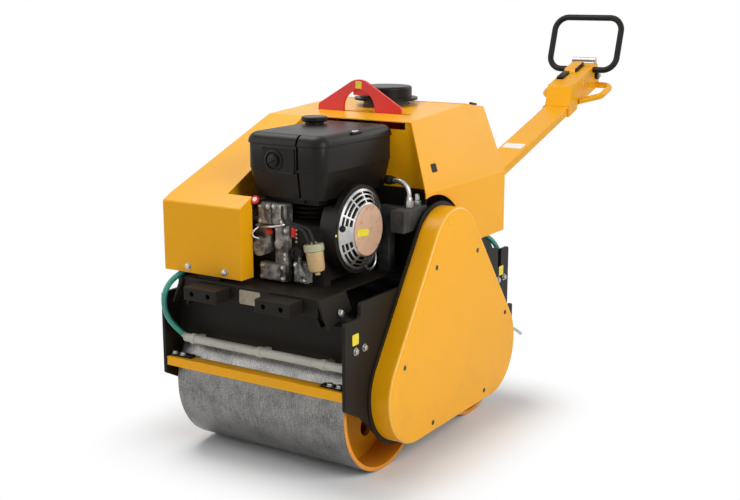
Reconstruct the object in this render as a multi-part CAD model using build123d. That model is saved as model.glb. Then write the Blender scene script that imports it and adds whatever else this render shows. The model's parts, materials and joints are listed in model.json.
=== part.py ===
from build123d import *
import math
import os

# Walk-behind double-drum roller.
# Machine frame while modelling: +X is the machine's left (drive cover side), +Y its rear (handle side), +Z up,
# zero at mid-wheelbase, on the centreline, on the ground. Millimetres and degrees.

# Drums
DRUM_WIDTH = 650
DRUM_RADIUS = 232
DRUM_SHELL = 14
DRUM_RIM_ROUND = 3
WHEELBASE = 590
WEB_INSET = 95
WEB_THICKNESS = 16
WEB_HOLE_RADIUS = 34
WEB_HOLE_CIRCLE = 130
WEB_HOLE_COUNT = 5
HUB_RADIUS = 62
HUB_LENGTH = 26
AXLE_RADIUS = 30
RUNNING_CLEARANCE = 0.05
AXLE_END_GAP = 4

# Side plates and cross panels
PLATE_GAP = 15
PLATE_THICKNESS = 12
PLATE_FRONT = 560
PLATE_REAR = 560
PLATE_REAR_HORN = 516
PLATE_TOP = 585
PLATE_HORN_FRONT_TOP = 540
PLATE_HORN_REAR_TOP = 573
PLATE_SLIT = 24
PLATE_SLIT_BOTTOM = 508
PLATE_SHOULDER_FRONT = 476
PLATE_SHOULDER_REAR = 431
PLATE_NOSE = 272
PLATE_KNEE_REACH = 470
PLATE_KNEE = 225
PLATE_ROUND = 10
PLATE_BOTTOM = 150
PLATE_BOTTOM_REACH = 390
PLATE_REAR_STEP = 350
PANEL_THICKNESS = 8
PANEL_FRONT = 480
PANEL_REAR = 440
PANEL_BOTTOM_FRONT = 385
PANEL_BOTTOM_REAR = 425
PANEL_DECK_GAP = 22
PANEL_NOTCH_WIDTH = 90
PANEL_NOTCH_DEPTH = 65

# Deck, front blocks and buffers
DECK_TOP = 600
DECK_THICKNESS = 8
DECK_HALF_WIDTH = 256
DECK_OVERHANG = 69
BEAM_THICKNESS = 8
BEAM_HEIGHT = 55
BLOCK_CENTRE = 137
BLOCK_WIDTH = 128
BLOCK_HEIGHT = 41
BLOCK_REACH = 68
BLOCK_HOLE_RADIUS = 8
BLOCK_HOLE_SPACING = 64
BLOCK_ROUND = 5
WING_LENGTH = 144
WING_OVERHANG = 10
WING_THICKNESS = 9
WING_DROP_OUTER = 84
WING_DROP_INNER = 58
WING_SLOPE = 0.5
BUFFER_RADIUS = 22
BUFFER_HEIGHT = 32
BUFFER_DROP = 46
BUFFER_CLEARANCE = 4
SEAT_HALF = 30
SEAT_THICKNESS = 8

# Drum bearings
BEARING_RADIUS = 58
BEARING_LENGTH = 52
BEARING_FLANGE_RADIUS = 84
BEARING_FLANGE = 12
CAP_RADIUS = 55
CAP_DEPTH = 20
CAP_ROUND = 6

# Scrapers and spray bars
SCRAPER_FACE = 557
SCRAPER_TOP = 328
SCRAPER_HEIGHT = 30
SCRAPER_SHEET = 5
SCRAPER_CLEARANCE = 7
CLAMP_LENGTH = 76
CLAMP_WIDTH = 26
CLAMP_HEIGHT = 9
CLAMP_INSET = 12
SPRAY_RADIUS = 13.5
SPRAY_RISE = 69
SPRAY_OFFSET = 50
SPRAY_WALL = 3
SPRAY_END = 268
SPRAY_SOCKET = 15
CLIP_WIDTH = 14
CLIP_THICKNESS = 3
CLIP_FOOT = 15
CLIP_PLACES = [-239, 25, 262]

# Water hoses, from the spray bar's open end up to the valve on the deck
HOSE_RADIUS = 9
HOSE_ARC_SHARE = 0.45
# Columns: distance in from the side plate, reach beyond the deck's front edge, the same at its rear edge,
# share of the rise from spray bar to deck
HOSE_ROUTE = [
    (50, -24, -24, 0.04),
    (28, -5, -20, 0.18),
    (17, 13, -17, 0.37),
    (14, 21, -16, 0.57),
    (18, 18, -19, 0.75),
    (30, 1, -27, 0.91),
    (50, -29, -42, 1.03),
    (80, -64, -66, 1.15),
]
BARB_RADIUS = 9.5
BARB_LENGTH = 16
VALVE_RADIUS = 19
VALVE_FOOT_RADIUS = 26
VALVE_FOOT = 8
VALVE_CROWN = 30
VALVE_LEVER = 44

# Drive cover on the left
COVER_APEX_Y = -18
COVER_APEX_Z = 653
COVER_APEX_RADIUS = 152
COVER_FOOT_Y = 258
COVER_FOOT_Z = 267
COVER_FOOT_RADIUS = 170
COVER_DEPTH = 68
COVER_SHEET = 4
COVER_ROUND = 10
BACKPLATE_THICKNESS = 6
BACKPLATE_RIM = 14

# Hood
HOOD_SHEET = 4
HOOD_HALF_WIDTH = 349
HOOD_TOP_HALF_WIDTH = 277
HOOD_BOTTOM = 640
HOOD_BOX_BOTTOM = 614
HOOD_FOLD = 850
HOOD_TOP = 1071
HOOD_FRONT = 544
HOOD_NOSE_TOP = 837
HOOD_SLANT_TOP = 75
HOOD_REAR = 482
HOOD_REAR_TOP = 340
HOOD_RISE = 27
HOOD_EDGE_LOWER = 88
HOOD_EDGE_TOP = 61
HOOD_ROUND = 9
BAY_LEFT = -130
BAY_BOX_SIDE = -36
BAY_BOX_DEPTH = 60
ARCH_Y = -38
ARCH_Z = 626
ARCH_RADIUS = 215
FIREWALL_BOTTOM = 860
FIREWALL_SLOT = 26
BULKHEAD_LEFT = 330
SIDE_HOLE = 16
SIDE_HOLE_Y = -6
SIDE_HOLE_Z = 923
BRACKET_SHEET = 5
BRACKET_WIDTH = 90
BRACKET_FOOT = 30
BRACKET_HEIGHT = 100

# Lifting frame
LIFT_Y = 66
LIFT_PLATE = 12
LIFT_BASE = 165
LIFT_LEG = 82
LIFT_TOP = 1187
LIFT_CROWN_RADIUS = 68
LIFT_EYE_HALF = 62
LIFT_EYE_TOP = 1152
LIFT_FOOT_RISE = 10
LIFT_SLOT_GAP = 3
LIFT_SLOT_END = 34
LIFT_LUG_HALF = 30
LIFT_LUG_BOTTOM = 1133
LIFT_LUG_HEIGHT = 38
LIFT_LUG_DEPTH = 24

# Water tank
TANK_HALF_WIDTH = 220
TANK_FRONT = 150
TANK_REAR = 350
TANK_TOP = 1040
TANK_WALL = 6
TANK_ROUND = 40
NECK_RADIUS = 78
NECK_Y = 236
CAP_FLANGE_RADIUS = 110
CAP_BODY_RADIUS = 90
CAP_FLANGE_Z = 1108
CAP_FLANGE_HEIGHT = 8
CAP_HEIGHT = 47

# Engine: crankshaft along X, heights as rises above the deck
ENGINE_HEIGHT = 250
CRANK_Y = -315
CRANK_RISE = 168
BLOCK_LEFT = 190
BLOCK_RIGHT = -76
BLOCK_REACH_FRONT = 118
BLOCK_REACH_REAR = 135
BLOCK_EDGE = 18
FOOT_HEIGHT = 14
FOOT_WIDTH = 40
CYLINDER_RISE = 58
CYLINDER_RADIUS = 72
CYLINDER_Y = -295
CYLINDER_X = 60
FIN_RADIUS = 96
FIN_COUNT = 4
FIN_THICKNESS = 4
# Castings on the block's front: low and high X, reach forward, low and high share of the engine's height
CASTINGS = [
    (-28, 18, 34, 0.73, 0.99),
    (20, 66, 28, 0.73, 0.99),
    (24, 74, 20, 0.10, 0.73),
    (-46, 8, 26, 0.42, 0.70),
    (-26, 70, 32, 0.03, 0.24),
    (100, 150, 28, 0.05, 0.30),
]
CASTING_ROUND = 5
# Round bosses on the castings: X, share of the engine's height, radius, reach forward
BOSSES = [
    (-20, 0.45, 30, 44),
    (-20, 0.45, 16, 54),
    (48, 0.50, 14, 34),
    (0, 0.14, 12, 42),
    (46, 0.14, 12, 42),
    (126, 0.18, 15, 40),
]
FILLER_X = -54
FILLER_RADIUS = 12
FILLER_CAP_RADIUS = 17
FILLER_CAP = 12
FILLER_REACH = 26
FILLER_SHARE = 0.95
FILTER_X = 192
FILTER_REACH = 56
FILTER_SHARE = 0.57
FILTER_TILT = 9
FILTER_CAP_RADIUS = 37
FILTER_CAP = 22
FILTER_BOWL_RADIUS = 32
FILTER_DRAW = 4.5
FILTER_BOWL = 58
FILTER_NUT_RADIUS = 10
FILTER_NUT = 12
FILTER_ARM = 20
LINE_RADIUS = 4.5
LINE_PITCH = 16
LINE_BEND = 24
LINE_TOP_X = 92
COWL_LEFT = 224
COWL_RIGHT = -70
COWL_FRONT = -482
COWL_REAR = -64
COWL_HEIGHT = 214
COWL_LID = 35
COWL_WAIST = 113
COWL_LEDGE = 5
COWL_TAPER = 12
COWL_CORNER = 34
COWL_ROUND = 26
COWL_SEAM_X = 128
COWL_SEAM = 7
COWL_SEAM_DEPTH = 6
COWL_KNOB_X = 47
COWL_KNOB_DROP = 80
COWL_KNOB_RADIUS = 33
COWL_KNOB_DEPTH = 9
COWL_GRIP_RADIUS = 19
COWL_VENT_X = 162
COWL_VENT_Y = -195
COWL_VENT_PITCH = 22
COWL_VENT_LENGTH = 46
COWL_VENT_WIDTH = 9
FUEL_CAP_X = 0
FUEL_CAP_Y = -200
FUEL_CAP_RADIUS = 42
FUEL_CAP_HEIGHT = 16
FUEL_CAP_ROUND = 5
FUEL_NECK_RADIUS = 30
FUEL_NECK_HEIGHT = 8
FAN_RADIUS = 136
FAN_DEPTH = 56
FAN_COWL_GAP = 2
GRILLE_RADIUS = 120
GRILLE_WIRE = 4
# Window rings of the grille: inner radius, outer radius
GRILLE_GAPS = [(84, 93), (97, 106), (110, 117)]
GRILLE_SPOKES = 12
GRILLE_SPOKE_WIDTH = 6
# Sectors of the grille left closed, counted from its lowest spoke towards the rear
GRILLE_BLANKS = [9]
GRILLE_DOME = 28
RING_Y = -262
RING_DROP = 104
RING_RADIUS = 32
FAN_PLATE_RADIUS = 79
FAN_PLATE_DEPTH = 5
FAN_PLATE_ROUND = 2

# Exciter between the drums
EXCITER_RISE = 198
EXCITER_RADIUS = 62
EXCITER_FLANGE_RADIUS = 88
EXCITER_FLANGE = 14

# Hydraulics
HYD_X = 312
HYD_WIDTH = 50
HYD_FRONT = -205
HYD_REAR = -62
HYD_RISE = 142
HYD_HEIGHT = 70
HYD_POST = 40
HYD_POST_LEFT = 250
ELBOW_RADIUS = 8
ELBOW_BEND = 41

# Handle: arm coordinates run along the arm from its pivot, and square to it from its middle plane
PIVOT_Y = 558
PIVOT_Z = 593
ARM_ANGLE = 16.6
ARM_HALF_WIDTH = 58
ARM_DEPTH = 36
ARM_WALL = 4
ARM_LENGTH = 1320
ARM_BUTT = 22
ARM_BUTT_ROUND = 14
PIN_RADIUS = 12
LUG_GAP = 2
LUG_THICKNESS = 12
LUG_RADIUS = 32
LUG_PLATE = 12
LUG_PLATE_HALF = 105
LUG_PLATE_BOTTOM = 500
LUG_PLATE_TOP = 632
STOP_ALONG = 58
STOP_RADIUS = 9
STOP_GAP = 0.3
HEAD_START = 1222
HEAD_NOSE = 1273
HEAD_END = 1582
HEAD_TOP = 98
HEAD_BOTTOM = -12
HEAD_HALF_WIDTH = 60
HEAD_ROUND = 8
SADDLE_START = 1200
SADDLE_END = 1300
SADDLE_WALL = 6
ROLLER_ALONG = 1568
ROLLER_RADIUS = 11
ROLLER_HALF = 58
ROLLER_LIFT = 9
ROLLER_LUG = 5
BAIL_ALONG = 1524
BAIL_UP = 85
BAIL_LEAN = 35.2
BAIL_HEIGHT = 250
BAIL_HALF_WIDTH = 165
BAIL_RADIUS = 14
BAIL_CORNER = 62
GUARD_RADIUS = 14
GUARD_START = 1328
GUARD_SLANT = 78
GUARD_UP = 4
GUARD_END = 1540
GUARD_REACH = 140
GUARD_CORNER = 46
BOSS_RADIUS = 20
BOSS_LENGTH = 12
FLAP_START = 1440
FLAP_END = 1548
FLAP_RIGHT = -52
FLAP_LEFT = 2
FLAP_HEIGHT = 15
SWITCH_START = 1352
SWITCH_LENGTH = 76
SWITCH_WIDTH = 26
SWITCH_HEIGHT = 10
SWITCH_X = -34

# Worked out from the sizes above
PLATE_INNER = DRUM_WIDTH / 2 + PLATE_GAP
PLATE_OUTER = PLATE_INNER + PLATE_THICKNESS
DECK_BOTTOM = DECK_TOP - DECK_THICKNESS
AXLE_Y = WHEELBASE / 2
BACKPLATE_FACE = PLATE_OUTER + BACKPLATE_THICKNESS
COVER_FACE = BACKPLATE_FACE + COVER_DEPTH
WEB_OUTER = DRUM_WIDTH / 2 - WEB_INSET
ARM_UP = math.radians(ARM_ANGLE)
DECK_FRONT = PANEL_FRONT + PANEL_THICKNESS + DECK_OVERHANG
DECK_REAR = PANEL_REAR + PANEL_THICKNESS + DECK_OVERHANG
BLOCK_FRONT = DECK_FRONT + BLOCK_REACH
SPRAY_HEIGHT = SCRAPER_TOP + SPRAY_RISE
PANEL_TOP = DECK_BOTTOM - PANEL_DECK_GAP
COWL_BOTTOM = DECK_TOP + ENGINE_HEIGHT
COWL_TOP = COWL_BOTTOM + COWL_HEIGHT
BLOCK_TOP = COWL_BOTTOM - CYLINDER_RISE
BLOCK_FACE = CRANK_Y - BLOCK_REACH_FRONT
CRANK_Z = DECK_TOP + CRANK_RISE
FAN_MOUTH = BLOCK_LEFT + FAN_DEPTH
HYD_BOTTOM = DECK_TOP + HYD_RISE
HYD_TOP = HYD_BOTTOM + HYD_HEIGHT


def arm_point(along, up):
    y = PIVOT_Y + along * math.cos(ARM_UP) - up * math.sin(ARM_UP)
    z = PIVOT_Z + along * math.sin(ARM_UP) + up * math.cos(ARM_UP)
    return y, z


BAIL_TOP_ALONG = BAIL_ALONG + BAIL_HEIGHT * math.sin(math.radians(BAIL_LEAN))
BAIL_TOP_UP = BAIL_UP + BAIL_HEIGHT * math.cos(math.radians(BAIL_LEAN))
REAR_REACH = arm_point(BAIL_TOP_ALONG, BAIL_TOP_UP)[0] + BAIL_RADIUS
FRAME_X = -(COVER_FACE - (PLATE_OUTER + CAP_DEPTH)) / 2
FRAME_Y = -(REAR_REACH - BLOCK_FRONT) / 2


def slab(x0, x1, y0, y1, z0, z1):
    return Pos((x0 + x1) / 2, (y0 + y1) / 2, (z0 + z1) / 2) * Box(x1 - x0, y1 - y0, z1 - z0)


def rod_x(radius, x0, x1, y, z):
    return Pos((x0 + x1) / 2, y, z) * Rot(0, 90, 0) * Cylinder(radius, x1 - x0)


def rod_y(radius, y0, y1, x, z):
    return Pos(x, (y0 + y1) / 2, z) * Rot(90, 0, 0) * Cylinder(radius, y1 - y0)


def rod_z(radius, z0, z1, x, y):
    return Pos(x, y, (z0 + z1) / 2) * Cylinder(radius, z1 - z0)


def plate_x(outline, x0, x1):
    face = Plane.YZ.offset(x0) * make_face(Polyline(*outline, close=True))
    return extrude(face, x1 - x0)


def plate_y(outline, y0, y1):
    # Outline in X and Z
    face = Plane.XZ.offset(-y0) * make_face(Polyline(*outline, close=True))
    return extrude(face, -(y1 - y0))


def rounded(x0, x1, y0, y1, radius):
    face = Pos((x0 + x1) / 2, (y0 + y1) / 2) * Rectangle(x1 - x0, y1 - y0)
    return fillet(face.vertices(), radius)


def engine_z(share):
    return DECK_TOP + share * ENGINE_HEIGHT


def group(shapes):
    return Compound([solid for shape in shapes for solid in shape.solids()])


# Drums

def drum_shell(y):
    outer = rod_x(DRUM_RADIUS, -DRUM_WIDTH / 2, DRUM_WIDTH / 2, y, DRUM_RADIUS)
    outer = fillet(outer.edges().filter_by(GeomType.CIRCLE), DRUM_RIM_ROUND)
    return outer - rod_x(DRUM_RADIUS - DRUM_SHELL, -DRUM_WIDTH, DRUM_WIDTH, y, DRUM_RADIUS)


def drum_webs(y):
    webs = []
    for side in (-1, 1):
        disc = rod_x(DRUM_RADIUS - DRUM_SHELL, WEB_OUTER - WEB_THICKNESS, WEB_OUTER, 0, 0)
        disc += rod_x(HUB_RADIUS, WEB_OUTER, WEB_OUTER + HUB_LENGTH, 0, 0)
        disc += rod_x(AXLE_RADIUS, WEB_OUTER, PLATE_INNER - AXLE_END_GAP, 0, 0)
        for k in range(WEB_HOLE_COUNT):
            turn = 2 * math.pi * k / WEB_HOLE_COUNT
            disc -= rod_x(WEB_HOLE_RADIUS, 0, DRUM_WIDTH, WEB_HOLE_CIRCLE * math.cos(turn),
                          WEB_HOLE_CIRCLE * math.sin(turn))
        webs.append(Pos(0, y, DRUM_RADIUS) * Rot(0, 0, 0 if side > 0 else 180) * disc)
    return group(webs)


def drum_bearings():
    housings = []
    for y in (-AXLE_Y, AXLE_Y):
        for side in (-1, 1):
            body = rod_x(BEARING_RADIUS, PLATE_INNER - BEARING_LENGTH, PLATE_INNER, 0, 0)
            body += rod_x(BEARING_FLANGE_RADIUS, PLATE_INNER - BEARING_FLANGE, PLATE_INNER, 0, 0)
            body -= rod_x(AXLE_RADIUS + RUNNING_CLEARANCE, 0, DRUM_WIDTH, 0, 0)
            housings.append(Pos(0, y, DRUM_RADIUS) * Rot(0, 0, 0 if side > 0 else 180) * body)
    return group(housings)


def axle_caps():
    caps = []
    for y in (-AXLE_Y, AXLE_Y):
        cap = rod_x(CAP_RADIUS, -PLATE_OUTER - CAP_DEPTH, -PLATE_OUTER, y, DRUM_RADIUS)
        rim = cap.faces().sort_by(Axis.X)[0].edges()
        caps.append(fillet(rim, CAP_ROUND))
    return group(caps)


# Chassis plates

def side_plate(side):
    outline = [
        (-PLATE_FRONT, PLATE_NOSE),
        (-PLATE_FRONT, PLATE_HORN_FRONT_TOP),
        (-PLATE_SHOULDER_FRONT, PLATE_HORN_FRONT_TOP),
        (-PLATE_SHOULDER_FRONT, PLATE_TOP),
        (PLATE_SHOULDER_REAR, PLATE_TOP),
        (PLATE_SHOULDER_REAR, PLATE_SLIT_BOTTOM),
        (PLATE_SHOULDER_REAR + PLATE_SLIT, PLATE_SLIT_BOTTOM),
        (PLATE_SHOULDER_REAR + PLATE_SLIT, PLATE_HORN_REAR_TOP),
        (PLATE_REAR_HORN, PLATE_HORN_REAR_TOP),
        (PLATE_REAR_HORN, PLATE_REAR_STEP),
        (PLATE_REAR, PLATE_REAR_STEP),
        (PLATE_REAR, PLATE_NOSE),
        (PLATE_KNEE_REACH, PLATE_KNEE),
        (PLATE_BOTTOM_REACH, PLATE_BOTTOM),
        (-PLATE_BOTTOM_REACH, PLATE_BOTTOM),
        (-PLATE_KNEE_REACH, PLATE_KNEE),
    ]
    face = make_face(Polyline(*outline, close=True))
    face = fillet(face.vertices(), PLATE_ROUND)
    x0 = PLATE_INNER if side > 0 else -PLATE_OUTER
    return extrude(Plane.YZ.offset(x0) * face, PLATE_THICKNESS)


def cross_panel(face, bottom):
    # Web between the side plates, its upper corners cut away around the deck's wings
    panel = slab(-PLATE_INNER, PLATE_INNER, face - PANEL_THICKNESS, face, bottom, PANEL_TOP)
    for side in (-1, 1):
        x0, x1 = sorted((side * PLATE_INNER, side * (PLATE_INNER - PANEL_NOTCH_WIDTH)))
        panel -= slab(x0, x1, face - PANEL_THICKNESS, face, PANEL_TOP - PANEL_NOTCH_DEPTH, PANEL_TOP)
    return panel


def front_panel():
    return cross_panel(-PANEL_FRONT, PANEL_BOTTOM_FRONT)


def rear_panel():
    return cross_panel(PANEL_REAR + PANEL_THICKNESS, PANEL_BOTTOM_REAR)


def deck():
    # Folded tray: top plate with a flange turned down along the front
    plate = slab(-DECK_HALF_WIDTH, DECK_HALF_WIDTH, -DECK_FRONT, DECK_REAR, DECK_BOTTOM, DECK_TOP)
    return plate + slab(-DECK_HALF_WIDTH, DECK_HALF_WIDTH, -DECK_FRONT, -DECK_FRONT + BEAM_THICKNESS,
                        DECK_TOP - BEAM_HEIGHT, DECK_TOP)


def front_blocks():
    blocks = []
    for side in (-1, 1):
        x = side * BLOCK_CENTRE
        block = slab(x - BLOCK_WIDTH / 2, x + BLOCK_WIDTH / 2, -BLOCK_FRONT, -DECK_FRONT,
                     DECK_BOTTOM - BLOCK_HEIGHT, DECK_BOTTOM)
        block = fillet(block.edges().filter_by(Axis.Z).sort_by(Axis.Y)[:2], BLOCK_ROUND)
        for hole in (-1, 1):
            block -= rod_y(BLOCK_HOLE_RADIUS, -BLOCK_FRONT - BLOCK_ROUND, 0, x + hole * BLOCK_HOLE_SPACING / 2,
                           DECK_BOTTOM - BLOCK_HEIGHT / 2)
        blocks.append(block)
    return group(blocks)


def corner(shape):
    # The same piece at the four corners: made at the front left, mirrored across and turned to the rear
    shift = Pos(0, DECK_REAR - DECK_FRONT, 0)
    left_rear = shift * mirror(shape, Plane.XZ)
    return group([shape, mirror(shape, Plane.YZ), left_rear, mirror(left_rear, Plane.YZ)])


def wing_x(z):
    # Underside of a wing at a height below the deck
    return DECK_HALF_WIDTH + WING_SLOPE * (DECK_BOTTOM - z)


def buffer_axis():
    # Where the buffer meets the wing, and the way down and inwards square to it
    z = DECK_TOP - BUFFER_DROP
    y = -PANEL_FRONT - PANEL_THICKNESS - BUFFER_RADIUS - BUFFER_CLEARANCE
    return Vector(wing_x(z), y, z), Vector(-1, 0, -WING_SLOPE).normalized()


def buffer_brackets():
    # Sloping wings welded to the deck's side edges, their lower edge falling to the front
    front, rear = -DECK_FRONT - WING_OVERHANG, -DECK_FRONT - WING_OVERHANG + WING_LENGTH
    low = DECK_TOP - WING_DROP_OUTER
    section = [(DECK_HALF_WIDTH, DECK_TOP), (DECK_HALF_WIDTH + WING_THICKNESS, DECK_TOP),
               (wing_x(low) + WING_THICKNESS - WING_SLOPE * DECK_THICKNESS, low), (wing_x(low), low),
               (DECK_HALF_WIDTH, DECK_BOTTOM)]
    side = [(front, DECK_TOP), (rear, DECK_TOP), (rear, DECK_TOP - WING_DROP_INNER), (front, low)]
    return corner(plate_y(section, front, rear) & plate_x(side, 0, PLATE_INNER))


def rubber_buffers():
    top, down = buffer_axis()
    return corner(extrude(Plane(origin=top, z_dir=down) * Circle(BUFFER_RADIUS), BUFFER_HEIGHT))


def buffer_seats():
    # Plates on the panels, parallel to the wings
    top, down = buffer_axis()
    foot = top + down * BUFFER_HEIGHT
    depth = -PANEL_FRONT - PANEL_THICKNESS - foot.Y
    face = Plane(origin=foot, x_dir=(0, 1, 0), z_dir=down)
    outline = face * Pos(depth - SEAT_HALF, 0) * Rectangle(2 * SEAT_HALF, 2 * SEAT_HALF)
    return corner(extrude(outline, SEAT_THICKNESS))


# Scrapers, spray bars and hoses

def scraper(end):
    rise = SCRAPER_TOP - SCRAPER_SHEET - DRUM_RADIUS
    drum_reach = AXLE_Y + math.sqrt(DRUM_RADIUS ** 2 - rise ** 2)
    tip = drum_reach + SCRAPER_CLEARANCE
    outline = [
        (end * SCRAPER_FACE, SCRAPER_TOP),
        (end * SCRAPER_FACE, SCRAPER_TOP - SCRAPER_HEIGHT),
        (end * (SCRAPER_FACE - SCRAPER_SHEET), SCRAPER_TOP - SCRAPER_HEIGHT),
        (end * (SCRAPER_FACE - SCRAPER_SHEET), SCRAPER_TOP - SCRAPER_SHEET),
        (end * tip, SCRAPER_TOP - SCRAPER_SHEET),
        (end * tip, SCRAPER_TOP),
    ]
    return plate_x(outline, -PLATE_INNER, PLATE_INNER)


def scraper_clamps():
    clamps = []
    for end in (-1, 1):
        for side in (-1, 1):
            outer, ahead = PLATE_INNER - CLAMP_INSET, SCRAPER_FACE - CLAMP_INSET
            x0, x1 = sorted((side * outer, side * (outer - CLAMP_LENGTH)))
            y0, y1 = sorted((end * ahead, end * (ahead - CLAMP_WIDTH)))
            clamps.append(slab(x0, x1, y0, y1, SCRAPER_TOP, SCRAPER_TOP + CLAMP_HEIGHT))
    return group(clamps)


def spray_y(end):
    return end * ((PANEL_FRONT if end < 0 else PANEL_REAR) + PANEL_THICKNESS + SPRAY_OFFSET)


def hose_points(end):
    edge = DECK_FRONT if end < 0 else DECK_REAR
    rise = DECK_TOP - SPRAY_HEIGHT
    return [Vector(end * (PLATE_INNER - inwards), end * (edge + (front if end < 0 else rear)),
                   SPRAY_HEIGHT + share * rise) for inwards, front, rear, share in HOSE_ROUTE]


def barb(tip, away, length):
    # Short round stub that ends square at the hose's end
    direction = (tip - away).normalized()
    face = Plane(origin=tip, z_dir=direction) * Circle(BARB_RADIUS)
    return extrude(face, length)


def spray_bar(end):
    y = spray_y(end)
    closed = -end * PLATE_INNER
    open_end = end * SPRAY_END
    low, high = min(closed, open_end), max(closed, open_end)
    bar = rod_x(SPRAY_RADIUS, low, high, y, SPRAY_HEIGHT)
    bar -= rod_x(SPRAY_RADIUS - SPRAY_WALL, low + SPRAY_SOCKET, high - SPRAY_SOCKET, y, SPRAY_HEIGHT)
    points = hose_points(end)
    reach = (points[0] - Vector(open_end, y, SPRAY_HEIGHT)).length
    bar += Pos(open_end, y, SPRAY_HEIGHT) * Sphere(SPRAY_RADIUS)
    return bar + barb(points[0], points[1], reach)


def spray_bar_clips():
    clips = []
    for end in (-1, 1):
        y = spray_y(end)
        face = end * ((PANEL_FRONT if end < 0 else PANEL_REAR) + PANEL_THICKNESS)
        bottom = PANEL_BOTTOM_FRONT if end < 0 else PANEL_BOTTOM_REAR
        for place in CLIP_PLACES:
            x = -end * place
            low, high = x - CLIP_WIDTH / 2, x + CLIP_WIDTH / 2
            clip = rod_x(SPRAY_RADIUS + CLIP_THICKNESS, low, high, y, SPRAY_HEIGHT)
            clip += plate_x([(y, SPRAY_HEIGHT - SPRAY_RADIUS), (y, SPRAY_HEIGHT + SPRAY_RADIUS),
                             (face, bottom + CLIP_FOOT), (face, bottom)], low, high)
            clip -= rod_x(SPRAY_RADIUS, low - CLIP_WIDTH, high + CLIP_WIDTH, y, SPRAY_HEIGHT)
            clips.append(clip)
    return group(clips)


def water_hose(end):
    points = hose_points(end)
    radii = []
    for before, bend, after in zip(points, points[1:], points[2:]):
        turn = (bend - before).get_angle(after - bend)
        run = min((bend - before).length, (after - bend).length)
        radii.append(HOSE_ARC_SHARE * run / math.tan(math.radians(turn / 2)))
    path = FilletPolyline(*points, radius=radii)
    print("hose bend radii", [round(r) for r in radii], "length", round(path.length))
    section = Plane(origin=points[0], z_dir=points[1] - points[0]) * Circle(HOSE_RADIUS)
    return sweep(section, path)


def water_valves():
    valves = []
    for end in (-1, 1):
        points = hose_points(end)
        direction = (points[-1] - points[-2]).normalized()
        seat = points[-1] + direction * (BARB_LENGTH + VALVE_RADIUS)
        crown = seat.Z + VALVE_CROWN
        body = rod_z(VALVE_RADIUS, DECK_TOP, crown, seat.X, seat.Y)
        body += rod_z(VALVE_FOOT_RADIUS, DECK_TOP, DECK_TOP + VALVE_FOOT, seat.X, seat.Y)
        body += barb(points[-1], points[-2], BARB_LENGTH + VALVE_RADIUS)
        body += slab(seat.X - VALVE_FOOT / 2, seat.X + VALVE_FOOT / 2, seat.Y - VALVE_LEVER / 2,
                     seat.Y + VALVE_LEVER / 2, crown, crown + VALVE_FOOT)
        valves.append(body)
    return group(valves)


# Drive cover

def cover_outline(grow):
    apex = Pos(COVER_APEX_Y, COVER_APEX_Z) * Circle(COVER_APEX_RADIUS + grow)
    feet = [Pos(side * COVER_FOOT_Y, COVER_FOOT_Z) * Circle(COVER_FOOT_RADIUS + grow) for side in (-1, 1)]
    edges = apex.edges() + feet[0].edges() + feet[1].edges()
    return make_hull(edges)


def drive_backplate():
    return extrude(Plane.YZ.offset(PLATE_OUTER) * cover_outline(BACKPLATE_RIM), BACKPLATE_THICKNESS)


def drive_cover():
    cover = extrude(Plane.YZ.offset(BACKPLATE_FACE) * cover_outline(0), COVER_DEPTH)
    rim = cover.faces().sort_by(Axis.X)[-1].edges()
    cover = fillet(rim, COVER_ROUND)
    hollow = extrude(Plane.YZ.offset(BACKPLATE_FACE) * cover_outline(-COVER_SHEET), COVER_DEPTH - COVER_SHEET)
    rim = hollow.faces().sort_by(Axis.X)[-1].edges()
    return cover - fillet(rim, COVER_ROUND - COVER_SHEET)


# Hood

def hood_form(inset, bottom):
    # The sides run on above the top, which rises to the rear
    peak = HOOD_TOP + 2 * HOOD_RISE
    draw = (HOOD_HALF_WIDTH - HOOD_TOP_HALF_WIDTH) / (HOOD_TOP - HOOD_FOLD)
    peak_half = HOOD_HALF_WIDTH - draw * (peak - HOOD_FOLD)
    across = make_face(Polyline(
        (-HOOD_HALF_WIDTH, bottom), (-HOOD_HALF_WIDTH, HOOD_FOLD), (-peak_half, peak), (peak_half, peak),
        (HOOD_HALF_WIDTH, HOOD_FOLD), (HOOD_HALF_WIDTH, bottom), close=True))
    along = make_face(Polyline(
        (-HOOD_FRONT, bottom), (-HOOD_FRONT, HOOD_NOSE_TOP), (-HOOD_SLANT_TOP, HOOD_TOP),
        (HOOD_REAR_TOP, HOOD_TOP + HOOD_RISE), (HOOD_REAR, HOOD_FOLD), (HOOD_REAR, bottom), close=True))
    if inset:
        across = offset(across, -inset, kind=Kind.INTERSECTION)
        along = offset(along, -inset, kind=Kind.INTERSECTION)
    depth = 2 * HOOD_FRONT
    body = extrude(Plane.XZ.offset(depth) * across, -2 * depth)
    body = body & extrude(Plane.YZ.offset(-depth) * along, 2 * depth)
    folds = body.edges() - body.faces().sort_by(Axis.Z)[0].edges()
    return fillet(folds, HOOD_ROUND - inset)


def bay_cut():
    # Space left open for the engine, ahead of the hood's front edge and inside its front box
    low, high = HOOD_BOX_BOTTOM - HOOD_TOP, 2 * HOOD_TOP
    edge = [(-2 * HOOD_FRONT, low), (-HOOD_EDGE_LOWER, low), (-HOOD_EDGE_LOWER, HOOD_FOLD),
            (-HOOD_EDGE_TOP, HOOD_TOP), (-HOOD_EDGE_TOP, high), (-2 * HOOD_FRONT, high)]
    open_bay = plate_x(edge, BAY_LEFT, 2 * HOOD_HALF_WIDTH)
    box_back = -HOOD_FRONT + BAY_BOX_DEPTH
    return open_bay - slab(BAY_LEFT, BAY_BOX_SIDE, -2 * HOOD_FRONT, box_back, low, high)


def hood_inside():
    return hood_form(HOOD_SHEET, HOOD_BOX_BOTTOM - 4 * HOOD_SHEET)


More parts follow.
